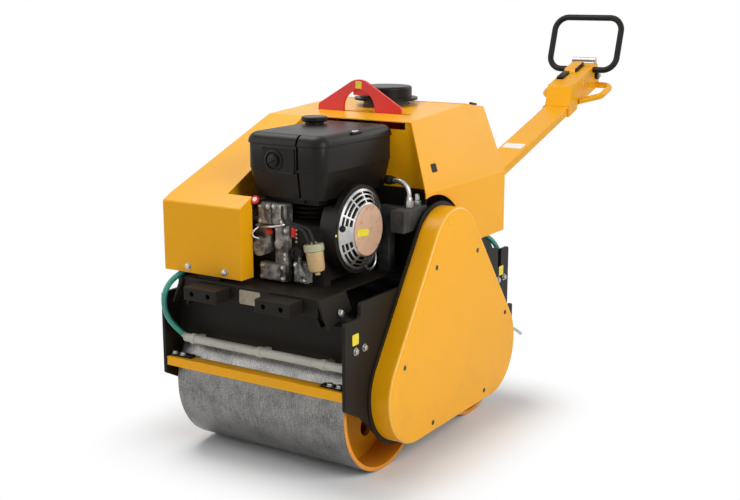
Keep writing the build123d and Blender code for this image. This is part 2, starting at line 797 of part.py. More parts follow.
def hood():
    shell = hood_form(0, HOOD_BOX_BOTTOM) - hood_inside()
    shell -= bay_cut()
    shell -= slab(-2 * HOOD_FRONT, 2 * HOOD_FRONT, -HOOD_EDGE_LOWER, 2 * HOOD_FRONT, 0, HOOD_BOTTOM)
    shell -= rod_x(ARCH_RADIUS, 0, 2 * HOOD_HALF_WIDTH, ARCH_Y, ARCH_Z)
    shell -= slab(0, 2 * HOOD_HALF_WIDTH, SIDE_HOLE_Y - SIDE_HOLE / 2, SIDE_HOLE_Y + SIDE_HOLE / 2,
                  SIDE_HOLE_Z - SIDE_HOLE / 2, SIDE_HOLE_Z + SIDE_HOLE / 2)
    shell -= rod_z(NECK_RADIUS + LIFT_SLOT_GAP, HOOD_TOP - HOOD_FOLD, 2 * HOOD_TOP, 0, NECK_Y)
    half_slot = LIFT_PLATE / 2 + LIFT_SLOT_GAP
    shell -= slab(-LIFT_BASE - LIFT_SLOT_GAP, LIFT_BASE + LIFT_SLOT_END, LIFT_Y - half_slot, LIFT_Y + half_slot,
                  HOOD_FOLD, 2 * HOOD_TOP)
    return shell


def hood_firewall():
    wall = slab(BAY_LEFT, HOOD_HALF_WIDTH, -HOOD_EDGE_TOP + HOOD_SHEET, -HOOD_EDGE_TOP + 2 * HOOD_SHEET,
                FIREWALL_BOTTOM, HOOD_TOP - FIREWALL_SLOT)
    wall += slab(HOOD_TOP_HALF_WIDTH - FIREWALL_SLOT, HOOD_HALF_WIDTH, -HOOD_EDGE_TOP + HOOD_SHEET,
                 -HOOD_EDGE_TOP + 2 * HOOD_SHEET, FIREWALL_BOTTOM, HOOD_TOP)
    return wall & hood_inside()


def bulkhead():
    # Dark wall behind the engine, from the deck up to the hood's firewall
    front = -HOOD_EDGE_TOP + HOOD_SHEET
    outline = [(BAY_LEFT, DECK_TOP), (DECK_HALF_WIDTH, DECK_TOP), (DECK_HALF_WIDTH, HOOD_BOTTOM),
               (BULKHEAD_LEFT, HOOD_BOTTOM), (BULKHEAD_LEFT, FIREWALL_BOTTOM), (BAY_LEFT, FIREWALL_BOTTOM)]
    return plate_y(outline, front, front + HOOD_SHEET)


def hood_bay_wall():
    # Side wall of the front box, its back and its return beside the engine
    box_back = -HOOD_FRONT + BAY_BOX_DEPTH
    wall = slab(BAY_LEFT - HOOD_SHEET, BAY_LEFT, box_back - HOOD_SHEET, -HOOD_EDGE_TOP + 2 * HOOD_SHEET,
                HOOD_BOX_BOTTOM, HOOD_TOP)
    wall += slab(BAY_LEFT, BAY_BOX_SIDE, box_back - HOOD_SHEET, box_back, HOOD_BOX_BOTTOM, HOOD_TOP)
    wall += slab(BAY_BOX_SIDE - HOOD_SHEET, BAY_BOX_SIDE, -HOOD_FRONT, box_back, HOOD_BOX_BOTTOM, HOOD_TOP)
    return wall & hood_inside()


def bracket_angle(width, foot):
    # Angle standing at Y zero, its foot turned to the rear
    return slab(0, width, 0, BRACKET_SHEET, DECK_TOP, DECK_TOP + BRACKET_HEIGHT) + slab(
        0, width, 0, foot, DECK_TOP, DECK_TOP + BRACKET_SHEET)


def hood_brackets():
    # Angles on the deck inside the hood's lower edge: one at the front box, two at the rear, one on each side
    inner_side = HOOD_HALF_WIDTH - HOOD_SHEET
    reach = inner_side - DECK_HALF_WIDTH + BRACKET_FOOT
    short = bracket_angle(BRACKET_WIDTH, BRACKET_FOOT)
    side = Pos(inner_side, TANK_FRONT + BRACKET_WIDTH, 0) * Rot(0, 0, 90) * bracket_angle(BRACKET_WIDTH, reach)
    rear = Pos(BRACKET_WIDTH, HOOD_REAR - HOOD_SHEET, 0) * mirror(short, Plane.XZ)
    return group([Pos(BAY_BOX_SIDE - 2 * BRACKET_WIDTH, -HOOD_FRONT + HOOD_SHEET, 0) * short,
                  rear, mirror(rear, Plane.YZ), side, mirror(side, Plane.YZ)])


# Lifting frame, tank

def lifting_frame():
    # Arched plate through the hood, on two legs, with a lug behind its crown
    base = HOOD_TOP + LIFT_FOOT_RISE
    crown = Pos(0, LIFT_TOP - LIFT_CROWN_RADIUS) * Circle(LIFT_CROWN_RADIUS)
    feet = []
    for side in (-1, 1):
        foot = Pos(side * (LIFT_BASE - LIFT_PLATE), base + LIFT_PLATE) * Circle(LIFT_PLATE)
        feet += foot.edges()
    outline = make_hull(crown.edges() + feet)
    legs = Pos(0, (base + LIFT_PLATE + DECK_TOP) / 2) * Rectangle(2 * LIFT_BASE, base + LIFT_PLATE - DECK_TOP)
    eye_middle = LIFT_EYE_TOP - LIFT_EYE_HALF
    eye = Pos(0, eye_middle) * Circle(LIFT_EYE_HALF)
    throat = Pos(0, (eye_middle + HOOD_TOP) / 2 - LIFT_PLATE) * Rectangle(
        2 * LIFT_EYE_HALF, eye_middle - HOOD_TOP + 2 * LIFT_PLATE)
    low_top = HOOD_TOP - LIFT_PLATE
    low = Pos(0, (low_top + DECK_TOP) / 2) * Rectangle(2 * (LIFT_BASE - LIFT_LEG), low_top - DECK_TOP)
    face = outline + legs - eye - throat - low
    back = LIFT_Y + LIFT_PLATE / 2
    plate = extrude(Plane.XZ.offset(-back) * face, LIFT_PLATE)
    return plate + slab(-LIFT_LUG_HALF, LIFT_LUG_HALF, back, back + LIFT_LUG_DEPTH, LIFT_LUG_BOTTOM,
                        LIFT_LUG_BOTTOM + LIFT_LUG_HEIGHT)


def water_tank():
    body = slab(-TANK_HALF_WIDTH, TANK_HALF_WIDTH, TANK_FRONT, TANK_REAR, DECK_TOP, TANK_TOP)
    body = fillet(body.edges().filter_by(Axis.Z), TANK_ROUND)
    body += rod_z(NECK_RADIUS, DECK_TOP, CAP_FLANGE_Z, 0, NECK_Y)
    inner = slab(-TANK_HALF_WIDTH + TANK_WALL, TANK_HALF_WIDTH - TANK_WALL, TANK_FRONT + TANK_WALL,
                 TANK_REAR - TANK_WALL, DECK_TOP + TANK_WALL, TANK_TOP - TANK_WALL)
    inner = fillet(inner.edges().filter_by(Axis.Z), TANK_ROUND - TANK_WALL)
    return body - inner


def tank_cap():
    flange = rod_z(CAP_FLANGE_RADIUS, CAP_FLANGE_Z, CAP_FLANGE_Z + CAP_FLANGE_HEIGHT, 0, NECK_Y)
    body = rod_z(CAP_BODY_RADIUS, CAP_FLANGE_Z, CAP_FLANGE_Z + CAP_HEIGHT, 0, NECK_Y)
    body = fillet(body.faces().sort_by(Axis.Z)[-1].edges(), CAP_FLANGE_HEIGHT)
    return flange + body


# Engine

def engine_block():
    rear = CRANK_Y + BLOCK_REACH_REAR
    case = slab(BLOCK_RIGHT, BLOCK_LEFT, BLOCK_FACE, rear, DECK_TOP + FOOT_HEIGHT, BLOCK_TOP)
    case = fillet(case.edges().filter_by(Axis.X), BLOCK_EDGE)
    for y in (BLOCK_FACE, rear - FOOT_WIDTH):
        case += slab(BLOCK_RIGHT, BLOCK_LEFT, y, y + FOOT_WIDTH, DECK_TOP,
                     DECK_TOP + 2 * FOOT_HEIGHT + BLOCK_EDGE)
    case += rod_z(CYLINDER_RADIUS, BLOCK_TOP - FOOT_HEIGHT, COWL_BOTTOM, CYLINDER_X, CYLINDER_Y)
    pitch = CYLINDER_RISE / FIN_COUNT
    for k in range(FIN_COUNT):
        z = BLOCK_TOP + (k + 0.5) * pitch
        case += rod_z(FIN_RADIUS, z - FIN_THICKNESS / 2, z + FIN_THICKNESS / 2, CYLINDER_X, CYLINDER_Y)
    return case


def injection_pump():
    # Timing case, pump and drain bosses on the block's front
    root = BLOCK_FACE + BLOCK_EDGE
    case = None
    for low, high, reach, bottom, top in CASTINGS:
        block = slab(low, high, BLOCK_FACE - reach, root, engine_z(bottom), engine_z(top))
        block = fillet(block.faces().sort_by(Axis.Y)[0].edges(), CASTING_ROUND)
        case = block if case is None else case + block
    for x, share, radius, reach in BOSSES:
        case += rod_y(radius, BLOCK_FACE - reach, root, x, engine_z(share))
    return case - engine_block()


def oil_filler():
    z = engine_z(FILLER_SHARE)
    back = BLOCK_FACE + BLOCK_EDGE + FILLER_RADIUS
    neck = rod_z(FILLER_RADIUS, BLOCK_TOP, z, FILLER_X, back)
    neck += Pos(FILLER_X, back, z) * Sphere(FILLER_RADIUS)
    neck += rod_y(FILLER_RADIUS, BLOCK_FACE - FILLER_REACH, back, FILLER_X, z)
    mouth = BLOCK_FACE - FILLER_REACH
    cap = rod_y(FILLER_CAP_RADIUS, mouth - FILLER_CAP, mouth, FILLER_X, z)
    return neck + cap


def engine_cowl():
    # Moulded cover: lid with a ledge, straight sides below it, then drawn in to the cylinder
    ledge, waist = COWL_TOP - COWL_LID, COWL_TOP - COWL_WAIST
    lid_face = rounded(COWL_RIGHT, COWL_LEFT, COWL_FRONT, COWL_REAR, COWL_CORNER)
    lid = extrude(Pos(0, 0, ledge) * lid_face, COWL_LID)
    lid = fillet(lid.faces().sort_by(Axis.Z)[-1].edges(), COWL_ROUND)
    side_face = rounded(COWL_RIGHT + COWL_LEDGE, COWL_LEFT - COWL_LEDGE, COWL_FRONT + COWL_LEDGE,
                        COWL_REAR - COWL_LEDGE, COWL_CORNER - COWL_LEDGE)
    cowl = lid + extrude(Pos(0, 0, waist) * side_face, ledge - waist)
    cowl += extrude(Pos(0, 0, waist) * side_face, COWL_BOTTOM - waist, taper=COWL_TAPER)
    knob_z = COWL_TOP - COWL_KNOB_DROP
    floor = COWL_FRONT + COWL_LEDGE + COWL_KNOB_DEPTH
    cowl -= rod_y(COWL_KNOB_RADIUS, COWL_FRONT - COWL_ROUND, floor, COWL_KNOB_X, knob_z)
    cowl += rod_y(COWL_GRIP_RADIUS, floor - COWL_KNOB_DEPTH, floor, COWL_KNOB_X, knob_z)
    front, seam = COWL_FRONT - COWL_ROUND, COWL_FRONT + COWL_LEDGE + COWL_SEAM_DEPTH
    run = (waist - COWL_BOTTOM) * math.tan(math.radians(COWL_TAPER))
    cowl -= plate_x([(front, COWL_TOP), (seam, COWL_TOP), (seam, waist), (seam + run, COWL_BOTTOM),
                     (front, COWL_BOTTOM)], COWL_SEAM_X, COWL_SEAM_X + COWL_SEAM)
    for k in (-1, 0, 1):
        cowl -= slab(COWL_VENT_X, COWL_VENT_X + COWL_VENT_LENGTH, COWL_VENT_Y + k * COWL_VENT_PITCH,
                     COWL_VENT_Y + k * COWL_VENT_PITCH + COWL_VENT_WIDTH, COWL_TOP - COWL_SEAM_DEPTH, COWL_TOP)
    return cowl


def fuel_cap():
    top = COWL_TOP + FUEL_NECK_HEIGHT
    neck = rod_z(FUEL_NECK_RADIUS, COWL_TOP, top, FUEL_CAP_X, FUEL_CAP_Y)
    cap = rod_z(FUEL_CAP_RADIUS, top, top + FUEL_CAP_HEIGHT, FUEL_CAP_X, FUEL_CAP_Y)
    return neck + fillet(cap.edges().filter_by(GeomType.CIRCLE), FUEL_CAP_ROUND)


def fan_housing():
    ring = rod_x(FAN_RADIUS, BLOCK_LEFT, FAN_MOUTH, CRANK_Y, CRANK_Z)
    ring -= rod_x(GRILLE_RADIUS, BLOCK_LEFT + FAN_DEPTH / 2, BLOCK_LEFT + 2 * FAN_DEPTH, CRANK_Y, CRANK_Z)
    gap = FAN_COWL_GAP
    return ring - slab(0, COWL_LEFT + gap, COWL_FRONT, COWL_REAR, COWL_BOTTOM - gap, COWL_TOP)


def fan_grille():
    # Conical cage over the housing's mouth: rings and spokes left between windows, and a ring to pull it by
    rim = GRILLE_RADIUS + GRILLE_WIRE
    profile = make_face(Polyline(
        (rim, 0), (rim, GRILLE_WIRE), (FAN_PLATE_RADIUS, GRILLE_DOME), (0, GRILLE_DOME),
        (0, GRILLE_DOME - GRILLE_WIRE), (FAN_PLATE_RADIUS - GRILLE_WIRE, GRILLE_DOME - GRILLE_WIRE),
        (rim - 2 * GRILLE_WIRE, 0), close=True))
    cage = revolve(Plane.XZ * profile, Axis.Z)
    kept = None
    for k in range(GRILLE_SPOKES):
        turn = Rot(0, 0, 360 * k / GRILLE_SPOKES)
        bar = turn * Pos(rim / 2, 0, 0) * Box(rim, GRILLE_SPOKE_WIDTH, 4 * GRILLE_DOME)
        if k in GRILLE_BLANKS:
            edge = rim * math.tan(math.pi / GRILLE_SPOKES)
            wedge = make_face(Polyline((0, 0), (rim, -edge), (rim, edge), close=True))
            bar += turn * Pos(0, 0, -2 * GRILLE_DOME) * extrude(wedge, 4 * GRILLE_DOME)
        kept = bar if kept is None else kept + bar
    for inner, outer in GRILLE_GAPS:
        ring = Cylinder(outer, 4 * GRILLE_DOME) - Cylinder(inner, 4 * GRILLE_DOME)
        cage -= ring - kept
    cage = Pos(FAN_MOUTH, CRANK_Y, CRANK_Z) * Rot(0, 90, 0) * cage
    pull = Rot(0, 90, 0) * Torus(RING_RADIUS, GRILLE_WIRE)
    pull = Pos(FAN_MOUTH + GRILLE_WIRE, RING_Y, CRANK_Z - RING_DROP) * pull
    return cage + (pull - rod_x(GRILLE_RADIUS, 0, 2 * FAN_MOUTH, CRANK_Y, CRANK_Z))


def fan_plate():
    x = FAN_MOUTH + GRILLE_DOME
    plate = rod_x(FAN_PLATE_RADIUS, x, x + FAN_PLATE_DEPTH, CRANK_Y, CRANK_Z)
    return fillet(plate.faces().sort_by(Axis.X)[-1].edges(), FAN_PLATE_ROUND)


def filter_place():
    return Pos(FILTER_X, BLOCK_FACE - FILTER_REACH, engine_z(FILTER_SHARE)) * Rot(0, -FILTER_TILT, 0)


def fuel_filter():
    # Cap, glass bowl and drain nut, turned, on an arm from the block
    low = -FILTER_CAP - FILTER_BOWL
    profile = make_face(Polyline(
        (0, 0), (FILTER_CAP_RADIUS, 0), (FILTER_CAP_RADIUS, -FILTER_CAP), (FILTER_BOWL_RADIUS, -FILTER_CAP),
        (FILTER_BOWL_RADIUS - FILTER_DRAW, low), (FILTER_NUT_RADIUS, low),
        (FILTER_NUT_RADIUS, low - FILTER_NUT),
        (0, low - FILTER_NUT), close=True))
    bowl = filter_place() * revolve(Plane.XZ * profile, Axis.Z)
    z = engine_z(FILTER_SHARE) - FILTER_CAP
    reach = BLOCK_FACE - FILTER_REACH
    return bowl + slab(FILTER_X - FILTER_ARM, FILTER_X - FILTER_ARM / 2, reach, BLOCK_FACE, z,
                       z + FILTER_ARM / 2)


def fuel_lines():
    # Two lines from under the cowl, down to the filter's cap
    lines = []
    for k in (-1, 1):
        end = filter_place() * Pos(k * LINE_PITCH / 2, 0, -LINE_RADIUS)
        tip = Vector(*end.position)
        y = tip.Y + k * LINE_PITCH / 4
        path = FilletPolyline(
            (LINE_TOP_X + k * LINE_PITCH / 2, y, COWL_BOTTOM),
            (LINE_TOP_X + k * LINE_PITCH / 2, y, COWL_BOTTOM - 2 * LINE_BEND),
            (tip.X - LINE_BEND, y, tip.Z + 2 * LINE_BEND),
            (tip.X, tip.Y, tip.Z), radius=LINE_BEND)
        start = Plane(origin=path @ 0, z_dir=path % 0)
        lines.append(sweep(start * Circle(LINE_RADIUS), path) - fuel_filter())
    return group(lines)


def exciter():
    # Vibrator tube across the frame, between the drums
    z = DRUM_RADIUS + EXCITER_RISE
    tube = rod_x(EXCITER_RADIUS, -PLATE_INNER, PLATE_INNER, 0, z)
    for side in (-1, 1):
        x0, x1 = sorted((side * PLATE_INNER, side * (PLATE_INNER - EXCITER_FLANGE)))
        tube += rod_x(EXCITER_FLANGE_RADIUS, x0, x1, 0, z)
    return tube


# Hydraulics

def hydraulic_block():
    body = slab(HYD_X - HYD_WIDTH / 2, HYD_X + HYD_WIDTH / 2, HYD_FRONT, HYD_REAR, HYD_BOTTOM, HYD_TOP)
    middle = (HYD_FRONT + HYD_REAR) / 2
    post = slab(HYD_POST_LEFT - HYD_POST, HYD_POST_LEFT, middle - HYD_POST / 2, middle + HYD_POST / 2, DECK_TOP,
                HYD_TOP)
    return body + post + slab(HYD_POST_LEFT - HYD_POST, HYD_X, middle - HYD_POST / 2, middle + HYD_POST / 2,
                              HYD_BOTTOM, HYD_TOP)


def hydraulic_elbow():
    # Hose from the block's top, over a quarter bend, forward to the cowl's underside
    y = (HYD_FRONT + HYD_REAR) / 2
    rise = HYD_TOP + ELBOW_BEND
    path = FilletPolyline((HYD_X, y, HYD_TOP), (HYD_X, y, rise + ELBOW_BEND),
                          (COWL_LEFT, y, rise + ELBOW_BEND), radius=ELBOW_BEND)
    section = Plane(origin=(HYD_X, y, HYD_TOP), z_dir=(0, 0, 1)) * Circle(ELBOW_RADIUS)
    return sweep(section, path)


# Handle

def arm_place():
    return Pos(0, PIVOT_Y, PIVOT_Z) * Rot(ARM_ANGLE, 0, 0)


def handle_arm():
    half = ARM_DEPTH / 2
    arm = slab(-ARM_HALF_WIDTH, ARM_HALF_WIDTH, -ARM_BUTT, ARM_LENGTH, -half, half)
    arm = fillet(arm.edges().filter_by(Axis.X).group_by(Axis.Y)[0], ARM_BUTT_ROUND)
    arm = fillet(arm.edges().filter_by(Axis.Y), ARM_WALL)
    arm -= slab(-ARM_HALF_WIDTH + ARM_WALL, ARM_HALF_WIDTH - ARM_WALL, ARM_BUTT, ARM_LENGTH - ARM_WALL,
                -half + ARM_WALL, half - ARM_WALL)
    arm -= rod_x(PIN_RADIUS + RUNNING_CLEARANCE, -2 * ARM_HALF_WIDTH, 2 * ARM_HALF_WIDTH, 0, 0)
    return arm_place() * arm


def handle_head():
    half = ARM_DEPTH / 2
    outline = [(HEAD_START, half), (HEAD_NOSE, HEAD_TOP), (HEAD_END, HEAD_TOP), (HEAD_END, HEAD_BOTTOM),
               (ARM_LENGTH, HEAD_BOTTOM), (ARM_LENGTH, half)]
    head = plate_x(outline, -HEAD_HALF_WIDTH, HEAD_HALF_WIDTH)
    front = head.edges().filter_by(Axis.X).group_by(Axis.Z)[-1]
    head = fillet(front, HEAD_ROUND)
    wide = ARM_HALF_WIDTH + SADDLE_WALL
    saddle = slab(-wide, wide, SADDLE_START, SADDLE_END, -half - SADDLE_WALL, half)
    saddle -= slab(-ARM_HALF_WIDTH, ARM_HALF_WIDTH, 0, ARM_LENGTH, -half, half)
    return arm_place() * (head + saddle)


def head_controls():
    # Travel flap and switch box on the head's top
    flap = plate_x([(FLAP_START, HEAD_TOP), (FLAP_START + FLAP_HEIGHT, HEAD_TOP + FLAP_HEIGHT),
                    (FLAP_END, HEAD_TOP + FLAP_HEIGHT), (FLAP_END, HEAD_TOP)], FLAP_RIGHT, FLAP_LEFT)
    switch = slab(SWITCH_X - SWITCH_WIDTH / 2, SWITCH_X + SWITCH_WIDTH / 2, SWITCH_START,
                  SWITCH_START + SWITCH_LENGTH, HEAD_TOP, HEAD_TOP + SWITCH_HEIGHT)
    switch = fillet(switch.edges().filter_by(Axis.Z), SWITCH_HEIGHT / 2)
    return arm_place() * group([flap, switch])


def head_roller():
    # Bright roller between two lugs that stand on the head
    middle = HEAD_TOP + ROLLER_LIFT + ROLLER_RADIUS
    roller = rod_x(ROLLER_RADIUS, -ROLLER_HALF, ROLLER_HALF, ROLLER_ALONG, middle)
    for side in (-1, 1):
        x0, x1 = sorted((side * (ROLLER_HALF - ROLLER_LUG), side * ROLLER_HALF))
        roller += slab(x0, x1, ROLLER_ALONG - ROLLER_LIFT, ROLLER_ALONG + ROLLER_LIFT, HEAD_TOP, middle)
    return arm_place() * roller


def bail_point(x, height):
    tilt = math.radians(BAIL_LEAN)
    return x, BAIL_ALONG + height * math.sin(tilt), BAIL_UP + height * math.cos(tilt)


def travel_bail():
    # Rounded loop, its lower ends butting on the head's cheeks
    corners = [(HEAD_HALF_WIDTH, 0), (BAIL_HALF_WIDTH, 0), (BAIL_HALF_WIDTH, BAIL_HEIGHT),
               (-BAIL_HALF_WIDTH, BAIL_HEIGHT), (-BAIL_HALF_WIDTH, 0), (-HEAD_HALF_WIDTH, 0)]
    path = FilletPolyline(*[bail_point(x, height) for x, height in corners], radius=BAIL_CORNER)
    section = Plane(origin=bail_point(HEAD_HALF_WIDTH, 0), z_dir=(1, 0, 0)) * Circle(BAIL_RADIUS)
    return arm_place() * sweep(section, path)


def side_guards():
    guards = []
    for side in (-1, 1):
        corners = [(HEAD_HALF_WIDTH, GUARD_START), (GUARD_REACH, GUARD_START + GUARD_SLANT),
                   (GUARD_REACH, GUARD_END), (HEAD_HALF_WIDTH, GUARD_END)]
        points = [(side * x, along, GUARD_UP) for x, along in corners]
        path = FilletPolyline(*points, radius=GUARD_CORNER)
        start = Vector(*points[1]) - Vector(*points[0])
        tube = sweep(Plane(origin=points[0], z_dir=start) * Circle(GUARD_RADIUS), path)
        tube -= slab(-HEAD_HALF_WIDTH, HEAD_HALF_WIDTH, 0, HEAD_END, -ARM_DEPTH, HEAD_TOP)
        guards.append(arm_place() * tube)
    return group(guards)


def bail_bosses():
    bosses = []
    for side in (-1, 1):
        x0, x1 = sorted((side * HEAD_HALF_WIDTH, side * (HEAD_HALF_WIDTH + BOSS_LENGTH)))
        bosses.append(arm_place() * rod_x(BOSS_RADIUS, x0, x1, GUARD_END + BAIL_RADIUS, HEAD_TOP / 2))
    return group(bosses)


def handle_bracket():
    lug_inner = ARM_HALF_WIDTH + LUG_GAP
    bracket = slab(-LUG_PLATE_HALF, LUG_PLATE_HALF, DECK_REAR, DECK_REAR + LUG_PLATE, LUG_PLATE_BOTTOM,
                   LUG_PLATE_TOP)
    bracket += slab(-LUG_PLATE_HALF, LUG_PLATE_HALF, PANEL_REAR + PANEL_THICKNESS + LUG_PLATE, DECK_REAR,
                    DECK_BOTTOM - LUG_PLATE, DECK_BOTTOM)
    stop_y, stop_z = arm_point(STOP_ALONG, -ARM_DEPTH / 2 - STOP_RADIUS - STOP_GAP)
    pivot = Pos(PIVOT_Y, PIVOT_Z) * Circle(LUG_RADIUS)
    stop = Pos(stop_y, stop_z) * Circle(2 * STOP_RADIUS)
    root = Pos(DECK_REAR + LUG_PLATE + STOP_RADIUS, (LUG_PLATE_BOTTOM + LUG_PLATE_TOP) / 2) * Rectangle(
        2 * STOP_RADIUS, LUG_PLATE_TOP - LUG_PLATE_BOTTOM - 2 * LUG_PLATE)
    lug_face = make_hull(pivot.edges() + stop.edges() + root.edges())
    for side in (-1, 1):
        x0 = lug_inner if side > 0 else -lug_inner - LUG_THICKNESS
        lug = extrude(Plane.YZ.offset(x0) * lug_face, LUG_THICKNESS)
        bracket += lug
    bracket += rod_x(STOP_RADIUS, -lug_inner, lug_inner, stop_y, stop_z)
    bracket -= rod_x(PIN_RADIUS + RUNNING_CLEARANCE, -2 * lug_inner, 2 * lug_inner, PIVOT_Y, PIVOT_Z)
    return bracket


def handle_pin():
    reach = ARM_HALF_WIDTH + LUG_GAP + LUG_THICKNESS
    pin = rod_x(PIN_RADIUS, -reach, reach, PIVOT_Y, PIVOT_Z)
    for side in (-1, 1):
        x0, x1 = sorted((side * reach, side * (reach + LUG_THICKNESS)))
        pin += rod_x(PIN_RADIUS + ARM_WALL, x0, x1, PIVOT_Y, PIVOT_Z)
    return pin


parts = {
    "side_plate_left": side_plate(1),
    "side_plate_right": side_plate(-1),
    "front_panel": front_panel(),
    "rear_panel": rear_panel(),
    "deck": deck(),
    "front_blocks": front_blocks(),
    "rubber_buffers": rubber_buffers(),
    "buffer_brackets": buffer_brackets(),
    "buffer_seats": buffer_seats(),
    "drum_bearings": drum_bearings(),
    "axle_caps": axle_caps(),
    "scraper_front": scraper(-1),
    "scraper_rear": scraper(1),
    "scraper_clamps": scraper_clamps(),
    "spray_bar_front": spray_bar(-1),
    "spray_bar_rear": spray_bar(1),
    "spray_bar_clips": spray_bar_clips(),
    "water_hose_front": water_hose(-1),
    "water_hose_rear": water_hose(1),
    "water_valves": water_valves(),
    "drive_backplate": drive_backplate(),
    "drive_cover": drive_cover(),
    "hood": hood(),
    "hood_firewall": hood_firewall(),
    "bulkhead": bulkhead(),
    "hood_bay_wall": hood_bay_wall(),
    "hood_brackets": hood_brackets(),
    "lifting_frame": lifting_frame(),
    "water_tank": water_tank(),
    "tank_cap": tank_cap(),
    "engine_block": engine_block(),
    "engine_cowl": engine_cowl(),
    "fuel_cap": fuel_cap(),
    "fan_housing": fan_housing(),
    "fan_grille": fan_grille(),
    "fan_plate": fan_plate(),
    "injection_pump": injection_pump(),
    "oil_filler": oil_filler(),
    "fuel_filter": fuel_filter(),
    "fuel_lines": fuel_lines(),
    "exciter": exciter(),
    "hydraulic_block": hydraulic_block(),
    "hydraulic_elbow": hydraulic_elbow(),
    "handle_bracket": handle_bracket(),
    "handle_pin": handle_pin(),
    "front_drum_shell": drum_shell(-AXLE_Y),
    "front_drum_webs": drum_webs(-AXLE_Y),
    "rear_drum_shell": drum_shell(AXLE_Y),
    "rear_drum_webs": drum_webs(AXLE_Y),
    "handle_arm": handle_arm(),
    "handle_head": handle_head(),
    "head_controls": head_controls(),
    "head_roller": head_roller(),
    "travel_bail": travel_bail(),
    "side_guards": side_guards(),
    "bail_bosses": bail_bosses(),
}

os.makedirs("parts", exist_ok=True)
for name, shape in parts.items():
    export_step(Pos(FRAME_X, FRAME_Y, 0) * shape, "parts/" + name + ".step")
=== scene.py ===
import bpy
import bmesh
import json
import math
from mathutils import Matrix, Vector


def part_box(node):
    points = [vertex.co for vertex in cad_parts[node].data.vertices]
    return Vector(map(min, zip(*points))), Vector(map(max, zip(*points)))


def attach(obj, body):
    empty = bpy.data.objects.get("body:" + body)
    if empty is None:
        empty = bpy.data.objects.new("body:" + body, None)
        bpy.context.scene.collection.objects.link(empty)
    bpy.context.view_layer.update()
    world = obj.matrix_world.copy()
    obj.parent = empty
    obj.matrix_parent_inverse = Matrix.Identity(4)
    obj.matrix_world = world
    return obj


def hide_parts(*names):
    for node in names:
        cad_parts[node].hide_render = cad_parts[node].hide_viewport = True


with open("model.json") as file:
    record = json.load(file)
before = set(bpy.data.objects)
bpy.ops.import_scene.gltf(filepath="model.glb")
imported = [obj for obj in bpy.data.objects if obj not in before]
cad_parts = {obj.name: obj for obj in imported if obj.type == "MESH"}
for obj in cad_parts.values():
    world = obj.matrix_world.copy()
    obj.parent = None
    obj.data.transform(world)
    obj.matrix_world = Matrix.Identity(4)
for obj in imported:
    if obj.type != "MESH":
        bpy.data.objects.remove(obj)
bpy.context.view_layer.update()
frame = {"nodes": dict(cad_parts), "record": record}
scene = bpy.context.scene
nodes = frame["nodes"]
record = frame["record"]
bodyOf = {name: body for body, names in record["behaviour"]["bodies"].items() for name in names}
slotOf = {row["node"]: row["material_slot"] for row in record["subparts"]}

# mid-wheelbase, on the centreline, at the ground
frontLow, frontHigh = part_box("front_drum_shell")
rearLow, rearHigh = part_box("rear_drum_shell")
middle = Vector(((frontLow.x + frontHigh.x) / 2, (frontLow.y + frontHigh.y + rearLow.y + rearHigh.y) / 4, 0))


def at(x, y, z):  # millimetres from there
    return middle + Vector((x, y, z)) / 1000


def span(name):  # a node's two corners in those millimetres
    return [[round(c * 1000, 1) for c in corner - middle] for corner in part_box(name)]


plateLow, plateHigh = span("side_plate_left")
deckLow, deckHigh = span("deck")
hoodLow, hoodHigh = span("hood")
left, right, ahead, upward = (1, 0, 0), (-1, 0, 0), (0, -1, 0), (0, 0, 1)
print("frame loaded,", len(nodes), "nodes")

# camera at the photo's angle
cameraSet = {"lens": 57.55, "sensor": 36, "tilt": 77.43, "turn": 32.3, "place": (2165.1, -3293.3, 1491.9),
             "reach": 200}
bpy.ops.object.camera_add(location=at(*cameraSet["place"]),
                          rotation=(math.radians(cameraSet["tilt"]), 0, math.radians(cameraSet["turn"])))
camera = bpy.context.object
camera.data.lens = cameraSet["lens"]
camera.data.sensor_width = cameraSet["sensor"]
camera.data.clip_end = cameraSet["reach"]
scene.camera = camera

# water hoses: one route, turned round for the rear end
waterHose = {
    "diameter": 0.018, "low": 397,
    # label, side, the deck's edge there, its column in the route, length
    "ends": [("Front", -1, -deckLow[1], 1, 0.295), ("Rear", 1, deckHigh[1], 2, 0.269)],
    # in from the side plate, beyond the front edge, beyond the rear edge, share of the rise to the deck
    "route": [(50, -24, -24, 0.04), (28, -5, -20, 0.18), (17, 13, -17, 0.37), (14, 21, -16, 0.57),
              (18, 18, -19, 0.75), (30, 1, -27, 0.91), (50, -29, -42, 1.03), (80, -64, -66, 1.15)],
}
hoses = []
for label, side, edge, column, length in waterHose["ends"]:
    curve = bpy.data.curves.new("waterHose" + label, "CURVE")
    curve.dimensions = "3D"
    spline = curve.splines.new("NURBS")
    spline.points.add(len(waterHose["route"]) - 1)
    rise = deckHigh[2] - waterHose["low"]
    for point, row in zip(spline.points, waterHose["route"]):
        across = side * (plateLow[0] - row[0])
        along = side * (edge + row[column])
        point.co = (*at(across, along, waterHose["low"] + row[3] * rise), 1)
        point.radius = waterHose["diameter"] / 2  # a curve's box grows by this, so it carries the thickness
    spline.order_u = 3
    spline.use_endpoint_u = True
    spline.resolution_u = 10
    curve.bevel_depth = 1
    curve.use_fill_caps = True
    curve.bevel_resolution = 5
    hose = bpy.data.objects.new("waterHose" + label, curve)
    scene.collection.objects.link(hose)
    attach(hose, "chassis")
    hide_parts("water_hose_" + label.lower())
    hoses.append(hose)
print("camera and hoses made")


